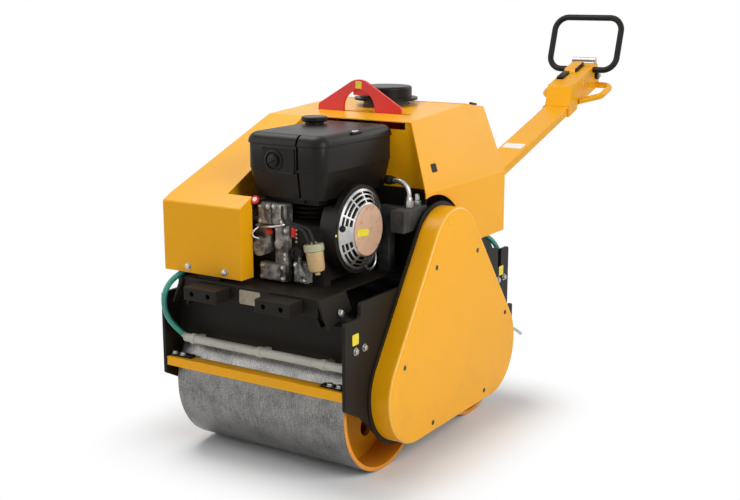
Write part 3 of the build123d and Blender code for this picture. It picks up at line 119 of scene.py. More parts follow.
# shader sums written as plain expressions
class Wire:
    def __init__(self, owner, socket):
        self.owner = owner
        self.socket = socket

    def sum(self, operation, *values):
        return self.owner.node("ShaderNodeMath", {"operation": operation}, values)

    def __add__(self, other):
        return self.sum("ADD", self, other)

    def __radd__(self, other):
        return self.sum("ADD", other, self)

    def __sub__(self, other):
        return self.sum("SUBTRACT", self, other)

    def __rsub__(self, other):
        return self.sum("SUBTRACT", other, self)

    def __mul__(self, other):
        return self.sum("MULTIPLY", self, other)

    def __rmul__(self, other):
        return self.sum("MULTIPLY", other, self)

    def __pow__(self, other):
        return self.sum("POWER", self, other)

    def __abs__(self):
        return self.sum("ABSOLUTE", self)

    def most(self, other):
        return self.sum("MAXIMUM", self, other)

    def sine(self):
        return self.sum("SINE", self)


class NodeTree:
    def __init__(self, tree):
        self.tree = tree
        tree.nodes.clear()

    def node(self, kind, settings=None, inputs=(), output=0):
        made = self.tree.nodes.new(kind)
        for key, value in (settings or {}).items():
            setattr(made, key, value)
        rows = inputs.items() if isinstance(inputs, dict) else enumerate(inputs)
        for key, value in rows:
            self.feed(made.inputs[key], value)
        return Wire(self, made.outputs[output])

    def feed(self, socket, value):
        if isinstance(value, Wire):
            self.tree.links.new(value.socket, socket)
        else:
            socket.default_value = value

    def seen(self):  # 1 for what the camera sees, straight, mirrored or through glass
        kinds = ("Is Camera Ray", "Is Glossy Ray", "Is Transmission Ray")
        rays = [self.node("ShaderNodeLightPath", output=kind) for kind in kinds]
        return rays[0].most(rays[1]).most(rays[2])


class Finish(NodeTree):
    def __init__(self, name):
        self.material = bpy.data.materials.new(name)
        self.material.use_nodes = True
        super().__init__(self.material.node_tree)
        self.output = self.tree.nodes.new("ShaderNodeOutputMaterial")
        self.shader = self.tree.nodes.new("ShaderNodeBsdfPrincipled")
        self.tree.links.new(self.shader.outputs[0], self.output.inputs[0])
        self.place = self.node("ShaderNodeTexCoord", output="Object")

    def noise(self, scale, detail=4, rough=0.55, place=None):
        sockets = {"Vector": place or self.place, "Scale": scale, "Detail": detail, "Roughness": rough}
        return self.node("ShaderNodeTexNoise", None, sockets)

    def axis(self, letter):
        return self.node("ShaderNodeSeparateXYZ", None, [self.place], output="XYZ".index(letter))

    def facing(self, letter):
        normal = self.node("ShaderNodeNewGeometry", output="Normal")
        return self.node("ShaderNodeSeparateXYZ", None, [normal], output="XYZ".index(letter))

    def stretch(self, x, y, z):
        return self.node("ShaderNodeMapping", None, {"Vector": self.place, "Scale": (x, y, z)})

    def step(self, value, low, high):  # 0 below low, 1 above high
        return self.node("ShaderNodeMapRange", {"interpolation_type": "SMOOTHSTEP"},
                         {"Value": value, "From Min": low, "From Max": high})

    def mix(self, share, first, second):
        return self.node("ShaderNodeMix", {"data_type": "RGBA"}, {0: share, 6: first, 7: second}, output=2)

    def bump(self, height, strength):
        sockets = {"Strength": strength, "Distance": 0.001, "Height": height}
        return self.node("ShaderNodeBump", None, sockets)

    def surface(self, **sockets):
        names = {"colour": "Base Color", "rough": "Roughness", "metal": "Metallic", "coat": "Coat Weight",
                 "coatRough": "Coat Roughness", "normal": "Normal", "gloss": "Specular IOR Level"}
        for key, value in sockets.items():
            self.feed(self.shader.inputs[names[key]], value)
        return self.material


def rgb(r, g, b):  # screen colour to the shader's own scale
    shares = [c / 255 for c in (r, g, b)]
    return tuple(s / 12.92 if s < 0.0405 else ((s + 0.055) / 1.055) ** 2.4 for s in shares) + (1,)


# the pale yellow here is a painted highlight for the cover's rounded edge
paintSet = {"colour": rgb(246, 173, 12), "paintedHighlight": rgb(255, 222, 150), "dusty": rgb(216, 160, 72),
            "chip": rgb(120, 92, 52), "dustLow": 0.02, "dustTop": 0.42, "gloss": 0.18}


def paintLook(finish, colour, dusty, chip):
    # dust gathers low down, chips come in clusters
    cloud = finish.noise(7, 4, 0.6)
    peel = finish.noise(420, 2, 0.5)
    low = 1 - finish.step(finish.axis("Z"), paintSet["dustLow"], paintSet["dustTop"])
    dust = finish.step(cloud, 0.42, 0.75) * (0.08 + low * 0.45)
    chips = finish.step(finish.noise(60, 6, 0.7), 0.735, 0.75) * finish.step(cloud, 0.45, 0.6)
    base = finish.mix(dust, colour, dusty)
    base = finish.mix(chips * 0.8, base, chip)
    rough = 0.25 + dust * 0.35 + cloud * 0.08 + chips * 0.2
    return base, rough, finish.bump(peel - chips * 0.6, 0.06)


def yellowPaint():
    finish = Finish("yellowPaint")
    base, rough, normal = paintLook(finish, paintSet["colour"], paintSet["dusty"], paintSet["chip"])
    return finish.surface(colour=base, rough=rough, normal=normal, gloss=paintSet["gloss"])


def coverPaint():
    # the rounded edge round the cover's face is painted pale, a painted highlight
    finish = Finish("coverPaint")
    base, rough, normal = paintLook(finish, paintSet["colour"], paintSet["dusty"], paintSet["chip"])
    side = finish.facing("X")
    highlightBand = finish.step(side, 0.2, 0.5) * (1 - finish.step(side, 0.75, 0.95))
    base = finish.mix(highlightBand * 0.35, base, paintSet["paintedHighlight"])
    return finish.surface(colour=base, rough=rough - highlightBand * 0.05, normal=normal, gloss=paintSet["gloss"])


def redPaint():
    finish = Finish("redPaint")
    base, rough, normal = paintLook(finish, rgb(216, 44, 30), rgb(190, 66, 48), rgb(90, 30, 24))
    return finish.surface(colour=base, rough=rough, normal=normal, gloss=0.4)


def blackPaint():
    finish = Finish("blackPaint")
    cloud = finish.noise(5, 5, 0.62)
    grit = finish.noise(260, 3, 0.6)
    level = finish.step(finish.facing("Z"), 0.6, 0.95)
    dust = finish.step(cloud, 0.4, 0.85) * (0.08 + level * 0.06)
    base = finish.mix(dust, rgb(30, 26, 21), rgb(80, 72, 62))
    scuffs = finish.step(finish.noise(38, 7, 0.72), 0.72, 0.76)
    base = finish.mix(scuffs * 0.3, base, rgb(110, 100, 90))
    rough = 0.4 + cloud * 0.18 + dust * 0.3
    return finish.surface(colour=base, rough=rough, normal=finish.bump(grit, 0.08), gloss=0.14)


def drumSteel(name, axleY, axleZ, radius):
    # bare tread outside, paint on the rim and inside
    finish = Finish(name)
    y = finish.axis("Y") - axleY
    z = finish.axis("Z") - axleZ
    reach = (y * y + z * z) ** 0.5
    tread = finish.step(reach, radius - 0.0018, radius - 0.0006)
    speck = finish.noise(300, 6, 0.8)
    blotch = finish.noise(16, 5, 0.62)
    around = finish.node("ShaderNodeMath", {"operation": "ARCTAN2"}, [z, y])
    line = finish.node("ShaderNodeCombineXYZ", None, [finish.axis("X") * 260, around * 3, 0])
    streak = finish.noise(1, 4, 0.6, place=line)
    tone = finish.step(speck * 0.62 + blotch * 0.25 + streak * 0.2, 0.36, 0.72)
    steel = finish.mix(tone, rgb(60, 59, 57), rgb(164, 163, 160))
    steel = finish.mix(finish.step(blotch, 0.58, 0.72) * 0.3, steel, rgb(104, 94, 78))
    paint, paintRough = paintLook(finish, rgb(236, 152, 34), rgb(190, 140, 70), rgb(110, 92, 70))[:2]
    base = finish.mix(tread, paint, steel)
    rough = tread * (0.16 + speck * 0.24 + blotch * 0.06) + (1 - tread) * paintRough
    normal = finish.bump(speck * 0.8 + streak * 0.6, 0.6)
    return finish.surface(colour=base, rough=rough, metal=tread * 0.85, normal=normal, gloss=0.3)


def blackPlastic():
    finish = Finish("blackPlastic")
    cloud = finish.noise(9, 4, 0.6)
    grain = finish.noise(900, 2, 0.5)
    level = finish.step(finish.facing("Z"), 0.5, 0.95)
    dust = finish.step(cloud, 0.4, 0.8) * (0.04 + level * 0.1)
    base = finish.mix(dust, rgb(25, 22, 19), rgb(84, 79, 74))
    rough = 0.3 + cloud * 0.12 + dust * 0.3
    return finish.surface(colour=base, rough=rough, normal=finish.bump(grain, 0.08), gloss=0.15)


def casting(name, dark, pale, gloss):
    finish = Finish(name)
    cloud = finish.noise(14, 5, 0.65)
    base = finish.mix(finish.step(cloud, 0.35, 0.75), dark, pale)
    normal = finish.bump(finish.noise(380, 4, 0.7), 0.25)
    return finish.surface(colour=base, rough=0.5 + cloud * 0.16, metal=0.1, normal=normal, gloss=gloss)


def castAluminium():
    # oily grime over pale metal
    finish = Finish("castAluminium")
    cloud = finish.noise(22, 5, 0.65)
    grime = finish.step(finish.noise(24, 6, 0.72), 0.42, 0.64)
    base = finish.mix(finish.step(cloud, 0.3, 0.7), rgb(104, 101, 96), rgb(186, 182, 174))
    base = finish.mix(grime * 0.82, base, rgb(50, 45, 39))
    rough = 0.42 + cloud * 0.16 + grime * 0.2
    normal = finish.bump(finish.noise(430, 4, 0.7), 0.3)
    return finish.surface(colour=base, rough=rough, metal=0.4 - grime * 0.3, normal=normal, gloss=0.25)


def brightSteel():
    finish = Finish("brightSteel")
    cloud = finish.noise(34, 4, 0.6)
    hair = finish.noise(1, 3, 0.6, place=finish.stretch(900, 900, 120))
    base = finish.mix(cloud, rgb(146, 145, 142), rgb(204, 203, 200))
    rough = 0.2 + cloud * 0.16 + hair * 0.08
    return finish.surface(colour=base, rough=rough, metal=0.9, normal=finish.bump(hair, 0.05))


def greyPlastic():
    finish = Finish("greyPlastic")
    cloud = finish.noise(12, 5, 0.6)
    stain = finish.step(finish.noise(26, 6, 0.7), 0.55, 0.75)
    base = finish.mix(cloud, rgb(168, 165, 150), rgb(198, 195, 182))
    base = finish.mix(stain * 0.4, base, rgb(104, 98, 82))
    normal = finish.bump(finish.noise(600, 2), 0.08)
    return finish.surface(colour=base, rough=0.45 + stain * 0.2, normal=normal)


def greenHose():
    # crossed strands under a clear green skin
    finish = Finish("greenHose")
    flat = finish.axis("X") + finish.axis("Y")
    high = finish.axis("Z")
    rising = ((flat + high) * 900).sine()
    falling = ((flat - high) * 900).sine()
    strand = finish.step(rising.most(falling), 0.72, 0.95)
    cloud = finish.noise(30, 3)
    base = finish.mix(cloud, rgb(0, 112, 96), rgb(16, 146, 124))
    base = finish.mix(strand * 0.55, base, rgb(96, 196, 172))
    normal = finish.bump(strand, 0.15)
    return finish.surface(colour=base, rough=0.26 + cloud * 0.12, normal=normal, coat=0.3, coatRough=0.1)


def rubber():
    finish = Finish("rubber")
    cloud = finish.noise(30, 4)
    base = finish.mix(cloud, rgb(22, 22, 22), rgb(42, 40, 38))
    normal = finish.bump(finish.noise(500, 3), 0.2)
    return finish.surface(colour=base, rough=0.62 + cloud * 0.2, normal=normal, gloss=0.3)


def tanPlate():
    finish = Finish("tanPlate")
    cloud = finish.noise(26, 6, 0.7)
    blot = finish.step(finish.noise(40, 6, 0.7), 0.56, 0.66)
    base = finish.mix(cloud, rgb(190, 150, 122), rgb(220, 184, 156))
    base = finish.mix(blot * 0.7, base, rgb(112, 78, 56))
    return finish.surface(colour=base, rough=0.4 + cloud * 0.2, metal=0.15, normal=finish.bump(cloud, 0.1))


def filterBowl(capLow):
    # pale cap above, amber bowl below
    finish = Finish("filterBowl")
    cloud = finish.noise(30, 5)
    cap = finish.step(finish.axis("Z"), capLow - 0.002, capLow + 0.002)
    bowl = finish.mix(cloud, rgb(176, 140, 88), rgb(216, 184, 130))
    base = finish.mix(cap, bowl, finish.mix(cloud, rgb(146, 142, 108), rgb(190, 186, 150)))
    return finish.surface(colour=base, rough=0.22 + cloud * 0.14, normal=finish.bump(cloud, 0.05), coat=0.3)


def tankPlastic():
    finish = Finish("tankPlastic")
    cloud = finish.noise(8, 4)
    base = finish.mix(cloud, rgb(60, 58, 55), rgb(84, 82, 78))
    return finish.surface(colour=base, rough=0.5 + cloud * 0.1, normal=finish.bump(finish.noise(300, 2), 0.1))


def stickerLook(name, colour, worn):
    finish = Finish(name)
    cloud = finish.noise(55, 5, 0.65)
    base = finish.mix(finish.step(cloud, 0.4, 0.75) * 0.5, colour, worn)
    return finish.surface(colour=base, rough=0.3 + cloud * 0.2, normal=finish.bump(cloud, 0.04))


axleHeight = (frontLow.z + frontHigh.z) / 2
drumRadius = (frontHigh.z - frontLow.z) / 2
filterLow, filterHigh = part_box("fuel_filter")
filterCap = 0.026  # the cap's height on the filter, metres
look = {
    "yellow_paint": yellowPaint(), "red_paint": redPaint(), "black_paint": blackPaint(),
    "black_plastic": blackPlastic(), "grey_plastic": greyPlastic(), "tank_plastic": tankPlastic(),
    "cast_aluminium": castAluminium(), "bright_steel": brightSteel(), "tan_plate": tanPlate(),
    "cast_grey": casting("greyCasting", rgb(50, 50, 49), rgb(84, 82, 79), 0.25),
    "green_hose": greenHose(), "rubber": rubber(), "filter_bowl": filterBowl(filterHigh.z - filterCap),
    "yellowSticker": stickerLook("yellowSticker", rgb(238, 218, 40), rgb(190, 170, 60)),
    "whiteSticker": stickerLook("whiteSticker", rgb(244, 242, 238), rgb(206, 202, 196)),
    "typePlate": stickerLook("typePlate", rgb(162, 148, 128), rgb(104, 92, 78)),
}
ownLook = {
    "front_drum_shell": drumSteel("frontDrumSteel", (frontLow.y + frontHigh.y) / 2, axleHeight, drumRadius),
    "rear_drum_shell": drumSteel("rearDrumSteel", (rearLow.y + rearHigh.y) / 2, axleHeight, drumRadius),
    "engine_block": casting("blackCasting", rgb(24, 22, 20), rgb(44, 40, 36), 0.12),
    "drive_cover": coverPaint(),
}


def lookOf(name):
    return ownLook.get(name) or look[slotOf[name]]


for name, node in nodes.items():
    if not node.material_slots:
        node.data.materials.append(lookOf(name))
    for materialSlot in node.material_slots:
        materialSlot.material = lookOf(name)
for hose in hoses:
    hose.data.materials.append(look["green_hose"])
print("finishes made")


# modelling helpers, sizes in millimetres
def only(piece):
    bpy.ops.object.select_all(action="DESELECT")
    piece.select_set(True)
    bpy.context.view_layer.objects.active = piece


def openEdit(piece, mode, action):
    only(piece)
    bpy.ops.object.mode_set(mode="EDIT")
    bpy.ops.mesh.select_mode(type=mode)
    bpy.ops.mesh.select_all(action=action)


def editAll(piece):
    openEdit(piece, "FACE", "SELECT")


def editFaces(piece, test):
    openEdit(piece, "FACE", "DESELECT")
    mesh = bmesh.from_edit_mesh(piece.data)
    for face in mesh.faces:
        face.select_set(test(face.calc_center_median(), face.normal))
    bmesh.update_edit_mesh(piece.data)


def editEdges(piece, test):
    openEdit(piece, "EDGE", "DESELECT")
    mesh = bmesh.from_edit_mesh(piece.data)
    for edge in mesh.edges:
        edge.select_set(test(edge.verts[0].co, edge.verts[1].co))
    bmesh.update_edit_mesh(piece.data)


def leaveEdit():
    bpy.ops.object.mode_set(mode="OBJECT")


def upright(first, second):
    return abs((first - second).normalized().z) > 0.9


def roundUprights(piece, radius, segments):
    editEdges(piece, upright)
    bpy.ops.mesh.bevel(offset=radius / 1000, segments=segments)
    leaveEdit()


def raiseFaces(height):
    bpy.ops.mesh.extrude_region_move(TRANSFORM_OT_translate={"value": (0, 0, height / 1000)})


def freeze():
    bpy.ops.object.transform_apply(location=True, rotation=True, scale=True)


def bevelEdges(piece, width, segments=2, angle=35):
    only(piece)
    edge = piece.modifiers.new("edge", "BEVEL")
    edge.width = width / 1000
    edge.segments = segments
    edge.limit_method = "ANGLE"
    edge.angle_limit = math.radians(angle)
    edge.use_clamp_overlap = False
    bpy.ops.object.modifier_apply(modifier="edge")


def evenNormals(piece):
    only(piece)
    even = piece.modifiers.new("even", "WEIGHTED_NORMAL")
    even.keep_sharp = True
    even.weight = 90
    bpy.ops.object.modifier_apply(modifier="even")


def settle(piece, name, slot, finish=None, body="chassis", angle=40):
    only(piece)
    freeze()
    bpy.ops.object.shade_smooth_by_angle(angle=math.radians(angle))
    piece.name = name
    piece.data.name = name
    piece.data.materials.clear()
    piece.data.materials.append(finish or look[slot])
    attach(piece, body)
    return piece


def join(parts):
    bpy.ops.object.select_all(action="DESELECT")
    for part in parts:
        part.select_set(True)
    bpy.context.view_layer.objects.active = parts[0]
    if len(parts) > 1:
        bpy.ops.object.join()
    return parts[0]


def block(size, place):  # metres
    bpy.ops.object.select_all(action="DESELECT")
    bpy.ops.mesh.primitive_cube_add(size=1, location=place)
    piece = bpy.context.object
    piece.scale = size
    freeze()
    return piece


def cuboid(low, high):
    return block(at(*high) - at(*low), (at(*low) + at(*high)) / 2)


def boxed(size, corner, segments=3):  # every edge rounded
    piece = block(Vector(size) / 1000, (0, 0, 0))
    bevelEdges(piece, corner, segments)
    return piece


def turned(rows, sides=28):
    # rows of radius and height, raised from the first
    bpy.ops.object.select_all(action="DESELECT")
    radius, height = rows[0]
    bpy.ops.mesh.primitive_circle_add(vertices=sides, radius=radius / 1000, fill_type="NGON",
                                      location=(0, 0, height / 1000))
    piece = bpy.context.object
    freeze()
    editAll(piece)
    for nextRadius, nextHeight in rows[1:]:
        share = nextRadius / radius
        raiseFaces(nextHeight - height)
        bpy.ops.transform.resize(value=(share, share, 1), center_override=(0, 0, nextHeight / 1000))
        radius, height = nextRadius, nextHeight
    bpy.ops.mesh.select_all(action="SELECT")
    bpy.ops.mesh.normals_make_consistent(inside=False)
    leaveEdit()
    return piece


def lay(piece, place, normal=upward, spin=0):
    turn = Vector(normal).to_track_quat("Z", "Y").to_matrix().to_4x4()
    piece.data.transform(Matrix.Translation(place) @ turn @ Matrix.Rotation(spin, 4, "Z"))
    return piece


def pipe(points, radius):
    curve = bpy.data.curves.new("pipe", "CURVE")
    curve.dimensions = "3D"
    spline = curve.splines.new("NURBS")
    spline.points.add(len(points) - 1)
    for point, place in zip(spline.points, points):
        point.co = (*at(*place), 1)
    spline.order_u = 3
    spline.use_endpoint_u = True
    spline.resolution_u = 6
    curve.bevel_depth = radius / 1000
    curve.bevel_resolution = 3
    curve.use_fill_caps = True
    bar = bpy.data.objects.new("pipe", curve)
    scene.collection.objects.link(bar)
    only(bar)
    bpy.ops.object.convert(target="MESH")
    return bpy.context.object


# the node's own form with its sharp edges broken
softSet = {"merge": 0.02, "flatAngle": 0.5}


def softNode(name, width):
    piece = bpy.data.objects.new(name + "Worked", nodes[name].data.copy())
    scene.collection.objects.link(piece)
    editAll(piece)
    bpy.ops.mesh.remove_doubles(threshold=softSet["merge"] / 1000)
    bpy.ops.mesh.dissolve_limited(angle_limit=math.radians(softSet["flatAngle"]))
    leaveEdit()
    bevelEdges(piece, width)
    settle(piece, name + "Worked", slotOf[name], lookOf(name), bodyOf[name])
    evenNormals(piece)
    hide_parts(name)
    return piece


# plates, sheets and bars, each with the width of its broken edge
edgeWidths = {
    "side_plate_left": 1.6, "side_plate_right": 1.6, "front_panel": 1.2, "rear_panel": 1.2, "deck": 1.6,
    "front_blocks": 1.8, "buffer_brackets": 1.6, "buffer_seats": 1.2, "scraper_front": 1.6,
    "scraper_rear": 1.6, "scraper_clamps": 1.6, "lifting_frame": 1.8, "handle_arm": 1, "handle_head": 2.5,
    "head_controls": 2, "hood_brackets": 1, "hood": 0.9, "hood_bay_wall": 0.9, "hood_firewall": 0.9,
    "hydraulic_block": 2, "bulkhead": 0.9,
}
for name, width in edgeWidths.items():
    softNode(name, width)

# bearings a hair thinner, because a bore's facets reach further in than the true circle
bearingSet = {"edge": 1, "thinner": 0.4}
bearings = softNode("drum_bearings", bearingSet["edge"])
editAll(bearings)
bpy.ops.transform.shrink_fatten(value=-bearingSet["thinner"] / 1000)
leaveEdit()
print("edges broken on", len(edgeWidths) + 1, "nodes")

# hood tail: the top runs on behind its ridge and turns down in a steep rear wall
tailSet = {"proud": 0.1, "fold": 850, "lap": 16, "ridge": 340, "ridgeTop": 1098.1, "end": 452, "endTop": 1079,
           "draw": 0.3258, "round": 9, "roundDrop": 30, "near": 1}
tailHalf = hoodHigh[0] + tailSet["proud"]
tailRear = hoodHigh[1] + tailSet["proud"]
ridgeHalf = tailHalf - tailSet["draw"] * (tailSet["ridgeTop"] - tailSet["fold"])
endHalf = tailHalf - tailSet["draw"] * (tailSet["endTop"] - tailSet["fold"])
hoodTail = cuboid((-tailHalf, tailRear - tailSet["lap"], tailSet["fold"]),
                  (tailHalf, tailRear, tailSet["ridgeTop"]))
editFaces(hoodTail, lambda centre, normal: normal.z > 0.9)
bpy.ops.transform.translate(value=(0, (tailSet["ridge"] - tailRear) / 1000, 0))
bpy.ops.transform.resize(value=(ridgeHalf / tailHalf, 1, 1), center_override=at(0, 0, 0))
leaveEdit()
ridge = at(0, tailSet["ridge"] - tailSet["near"], tailSet["ridgeTop"] - tailSet["near"])
editEdges(hoodTail, lambda first, second: min(first.z, second.z) > ridge.z
          and min(first.y, second.y) > ridge.y)
bpy.ops.transform.translate(value=(0, (tailSet["end"] - tailSet["ridge"]) / 1000,
                                   (tailSet["endTop"] - tailSet["ridgeTop"]) / 1000))
bpy.ops.transform.resize(value=(endHalf / ridgeHalf, 1, 1), center_override=at(0, 0, 0))
leaveEdit()
rearEdge = at(0, tailSet["end"] - tailSet["near"], 0).y
roundFrom = ridge.z - tailSet["roundDrop"] / 1000
editEdges(hoodTail, lambda first, second: min(first.y, second.y) > rearEdge
          and max(first.z, second.z) > roundFrom)
bpy.ops.mesh.bevel(offset=tailSet["round"] / 1000, segments=4)
leaveEdit()
settle(hoodTail, "hoodTail", "yellow_paint")
evenNormals(hoodTail)
hoodLatch = {"size": (9, 44, 9), "corner": 2, "place": (265, 382, 1093), "normal": (0, 0.17, 1)}
tailLatch = lay(boxed(hoodLatch["size"], hoodLatch["corner"]), at(*hoodLatch["place"]), hoodLatch["normal"])
settle(tailLatch, "hoodLatch", "black_plastic")
print("hood tail made")

# hex bolt on a washer, standing on z 0: shares of its radius, and the turn from one to the next
boltSet = {"head": 0.62, "washer": 0.16, "washerRadius": 1.28, "washerEdge": 0.3, "inset": 0.16, "dome": 0.1,
           "edge": 0.05, "turn": 1.1}


def hexBolt(radius):
    bpy.ops.object.select_all(action="DESELECT")
    washerHigh = boltSet["washer"] * radius
    headHigh = boltSet["head"] * radius
    bpy.ops.mesh.primitive_cylinder_add(vertices=20, radius=boltSet["washerRadius"] * radius / 1000,
                                        depth=washerHigh / 1000, location=(0, 0, washerHigh / 2000))
    washer = bpy.context.object
    bevelEdges(washer, boltSet["washerEdge"] * washerHigh, 1)
    bpy.ops.mesh.primitive_cylinder_add(vertices=6, radius=radius / 1000, depth=headHigh / 1000,
                                        location=(0, 0, (washerHigh + headHigh / 2) / 1000))
    head = bpy.context.object
    only(head)
    freeze()
    editFaces(head, lambda centre, normal: normal.z > 0.9)
    bpy.ops.mesh.inset(thickness=boltSet["inset"] * radius / 1000)
    bpy.ops.transform.translate(value=(0, 0, boltSet["dome"] * radius / 1000))
    leaveEdit()
    bevelEdges(head, boltSet["edge"] * radius, 1, 50)
    bolt = join([washer, head])
    freeze()
    return bolt


def panScrew(radius, dome=0.5):  # half a ball, flattened
    bpy.ops.object.select_all(action="DESELECT")
    bpy.ops.mesh.primitive_uv_sphere_add(segments=20, ring_count=12, radius=radius / 1000, location=(0, 0, 0))
    head = bpy.context.object
    editAll(head)
    bpy.ops.mesh.bisect(plane_co=(0, 0, 0), plane_no=upward, clear_inner=True, use_fill=True)
    leaveEdit()
    head.scale = (1, 1, dome)
    freeze()
    return head


def strew(model, name, rows, slot, finish=None, body="chassis"):
    # copies of one model, each set on its place along its normal
    copies = []
    for count, (place, normal) in enumerate(rows):
        copy = bpy.data.objects.new(name, model.data.copy())
        scene.collection.objects.link(copy)
        copies.append(lay(copy, place, normal, count * boltSet["turn"]))
    return settle(join(copies), name, slot, finish, body)


def away(model):
    bpy.data.objects.remove(model)


frameBolts = {
    "radius": 9.5, "hood": [(-248, 634), (-101, 632)],
    "plate": [(-504, 444), (-456, 444), (434, 463), (480, 465)],
    "clampAcross": (-318, -285, 285, 318), "clampAlong": (-540, 540),
    "wingAcross": 291, "wingAlong": (-490, 450), "wingHigh": 548, "wingSlope": 0.5,
}
bolt = hexBolt(frameBolts["radius"])
rows = [(at(x, hoodLow[1], z), ahead) for x, z in frameBolts["hood"]]
strew(bolt, "hoodBolts", rows, "bright_steel")
rows = [(at(side * plateHigh[0], y, z), (side, 0, 0)) for side in (1, -1) for y, z in frameBolts["plate"]]
strew(bolt, "plateBolts", rows, "bright_steel")
clampTop = span("scraper_clamps")[1][2]
rows = [(at(x, y, clampTop), upward) for y in frameBolts["clampAlong"] for x in frameBolts["clampAcross"]]
strew(bolt, "clampBolts", rows, "bright_steel")
rows = []
for side in (-1, 1):
    wingNormal = Vector((side, 0, frameBolts["wingSlope"])).normalized()
    for y in frameBolts["wingAlong"]:
        rows.append((at(side * frameBolts["wingAcross"], y, frameBolts["wingHigh"]), wingNormal))
strew(bolt, "wingBolts", rows, "bright_steel")
away(bolt)

coverScrew = {"radius": 8.5, "dome": 0.25,
              "places": [(-152, 636), (-344, 362), (-165, 130), (194, 132), (124, 640), (344, 376)]}
screw = panScrew(coverScrew["radius"], coverScrew["dome"])
coverFace = span("drive_cover")[1][0]
strew(screw, "coverScrews", [(at(coverFace, y, z), left) for y, z in coverScrew["places"]], "cast_grey")
away(screw)
print("bolts and screws set")

# blank plates and stickers: name, size, place, normal, up, finish
labelSet = [
    ("plateSticker", (34, 34), at(plateHigh[0], -505, 481), left, upward, "yellowSticker"),
    ("hornSticker", (34, 34), at(plateHigh[0], 457, 494), left, upward, "yellowSticker"),
    ("eyeSticker", (24, 24), at(0, span("lifting_frame")[0][1], 1169), ahead, upward, "yellowSticker"),
    ("typePlate", (79, 44), at(4, deckLow[1], 569), ahead, upward, "typePlate"),
    ("fanSticker", (62, 21), at(span("fan_plate")[1][0], -350, 766), left, (0, 0.12, 1), "yellowSticker"),
]
labelCorner = 0.12  # share of the shorter side


def blankLabel(name, size, place, normal, up, finish, body="chassis", slot="yellow_paint", thickness=0.8):
    card = block(Vector((*size, thickness)) / 1000, (0, 0, thickness / 2000))
    roundUprights(card, min(size) * labelCorner, 4)
    zAxis = Vector(normal).normalized()
    yAxis = (Vector(up) - zAxis * zAxis.dot(Vector(up))).normalized()
    xAxis = yAxis.cross(zAxis)
    turn = Matrix((xAxis, yAxis, zAxis)).transposed().to_4x4()
    card.data.transform(Matrix.Translation(place) @ turn)
    return settle(card, name, slot, finish, body)


for name, size, place, normal, up, finish in labelSet:
    blankLabel(name, size, place, normal, up, look[finish])
# a black sheet laid on the hood's side hole, painted as the shade inside the hole
sideHoleShade = {"size": (31, 28), "thickness": 2, "place": (325.6, 0, 922)}
blankLabel("hoodHoleShade", sideHoleShade["size"], at(*sideHoleShade["place"]), (1, 0, tailSet["draw"]), upward,
           look["black_paint"], slot="black_paint", thickness=sideHoleShade["thickness"])

# places on the handle's arm
armTilt = math.radians(16.6)
armUp = Vector((0, -math.sin(armTilt), math.cos(armTilt)))
armAlong = Vector((0, math.cos(armTilt), math.sin(armTilt)))
foldJoint = [joint for joint in record["behaviour"]["joints"] if joint["name"] == "handle_fold"][0]


def onArm(x, along, up):  # millimetres from the handle's pivot
    return Vector(foldJoint["pos_m"]) + Vector((x, 0, 0)) / 1000 + armAlong * along / 1000 + armUp * up / 1000


armLabel = {"size": (90, 50), "place": (0, 760, 18)}
blankLabel("armSticker", armLabel["size"], onArm(*armLabel["place"]), armUp, armAlong,
           look["whiteSticker"], body="handle")
print("blank labels set")

# engine cowl: lid over a tapered body, with a strap seam
cowlSet = {"lid": 1030, "waist": 953, "foot": 869, "inset": 5, "taper": 13, "corner": 42, "crown": 32,
           "lap": 2, "seam": (126, 134), "depth": 7, "ledge": 2, "plinth": 26, "near": 0.5,
           "lidEdge": 2.5, "bodyEdge": 1.2}
cowlLow, cowlHigh = span("engine_cowl")
lid = cuboid((cowlLow[0], cowlLow[1], cowlSet["lid"]), cowlHigh)
roundUprights(lid, cowlSet["corner"], 6)
crownFrom = (cowlHigh[2] - cowlSet["near"]) / 1000
editEdges(lid, lambda first, second: min(first.z, second.z) > crownFrom)
bpy.ops.mesh.bevel(offset=cowlSet["crown"] / 1000, segments=6)
leaveEdit()
bevelEdges(lid, cowlSet["lidEdge"], 2, 60)
inset = cowlSet["inset"]
shell = cuboid((cowlLow[0] + inset, cowlLow[1] + inset, cowlSet["waist"]),
               (cowlHigh[0] - inset, cowlHigh[1] - inset, cowlSet["lid"] + cowlSet["lap"]))
roundUprights(shell, cowlSet["corner"] - inset, 6)
editFaces(shell, lambda centre, normal: normal.z < -0.9)
bpy.ops.mesh.inset(thickness=cowlSet["ledge"] / 1000)
raiseFaces(cowlSet["foot"] - cowlSet["waist"])
shrink = [1 - 2 * cowlSet["taper"] / (cowlHigh[k] - cowlLow[k] - 2 * inset) for k in (0, 1)]
cowlMiddle = (at(*cowlLow) + at(*cowlHigh)) / 2
bpy.ops.transform.resize(value=(*shrink, 1), center_override=cowlMiddle)
bpy.ops.mesh.inset(thickness=cowlSet["plinth"] / 1000)
raiseFaces(cowlLow[2] - cowlSet["foot"])
leaveEdit()
bevelEdges(shell, cowlSet["bodyEdge"], 2, 40)
cowlShell = join([lid, shell])
seamLow, seamHigh = [at(x, 0, 0).x for x in cowlSet["seam"]]
for x in (seamLow, seamHigh):
    editAll(cowlShell)
    bpy.ops.mesh.bisect(plane_co=(x, 0, 0), plane_no=left)
    leaveEdit()
editFaces(cowlShell, lambda centre, normal: seamLow < centre.x < seamHigh and normal.y < -0.25)
bpy.ops.mesh.extrude_region_shrink_fatten(TRANSFORM_OT_shrink_fatten={"value": -cowlSet["depth"] / 1000})
leaveEdit()
settle(cowlShell, "cowlShell", "black_plastic")
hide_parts("engine_cowl")

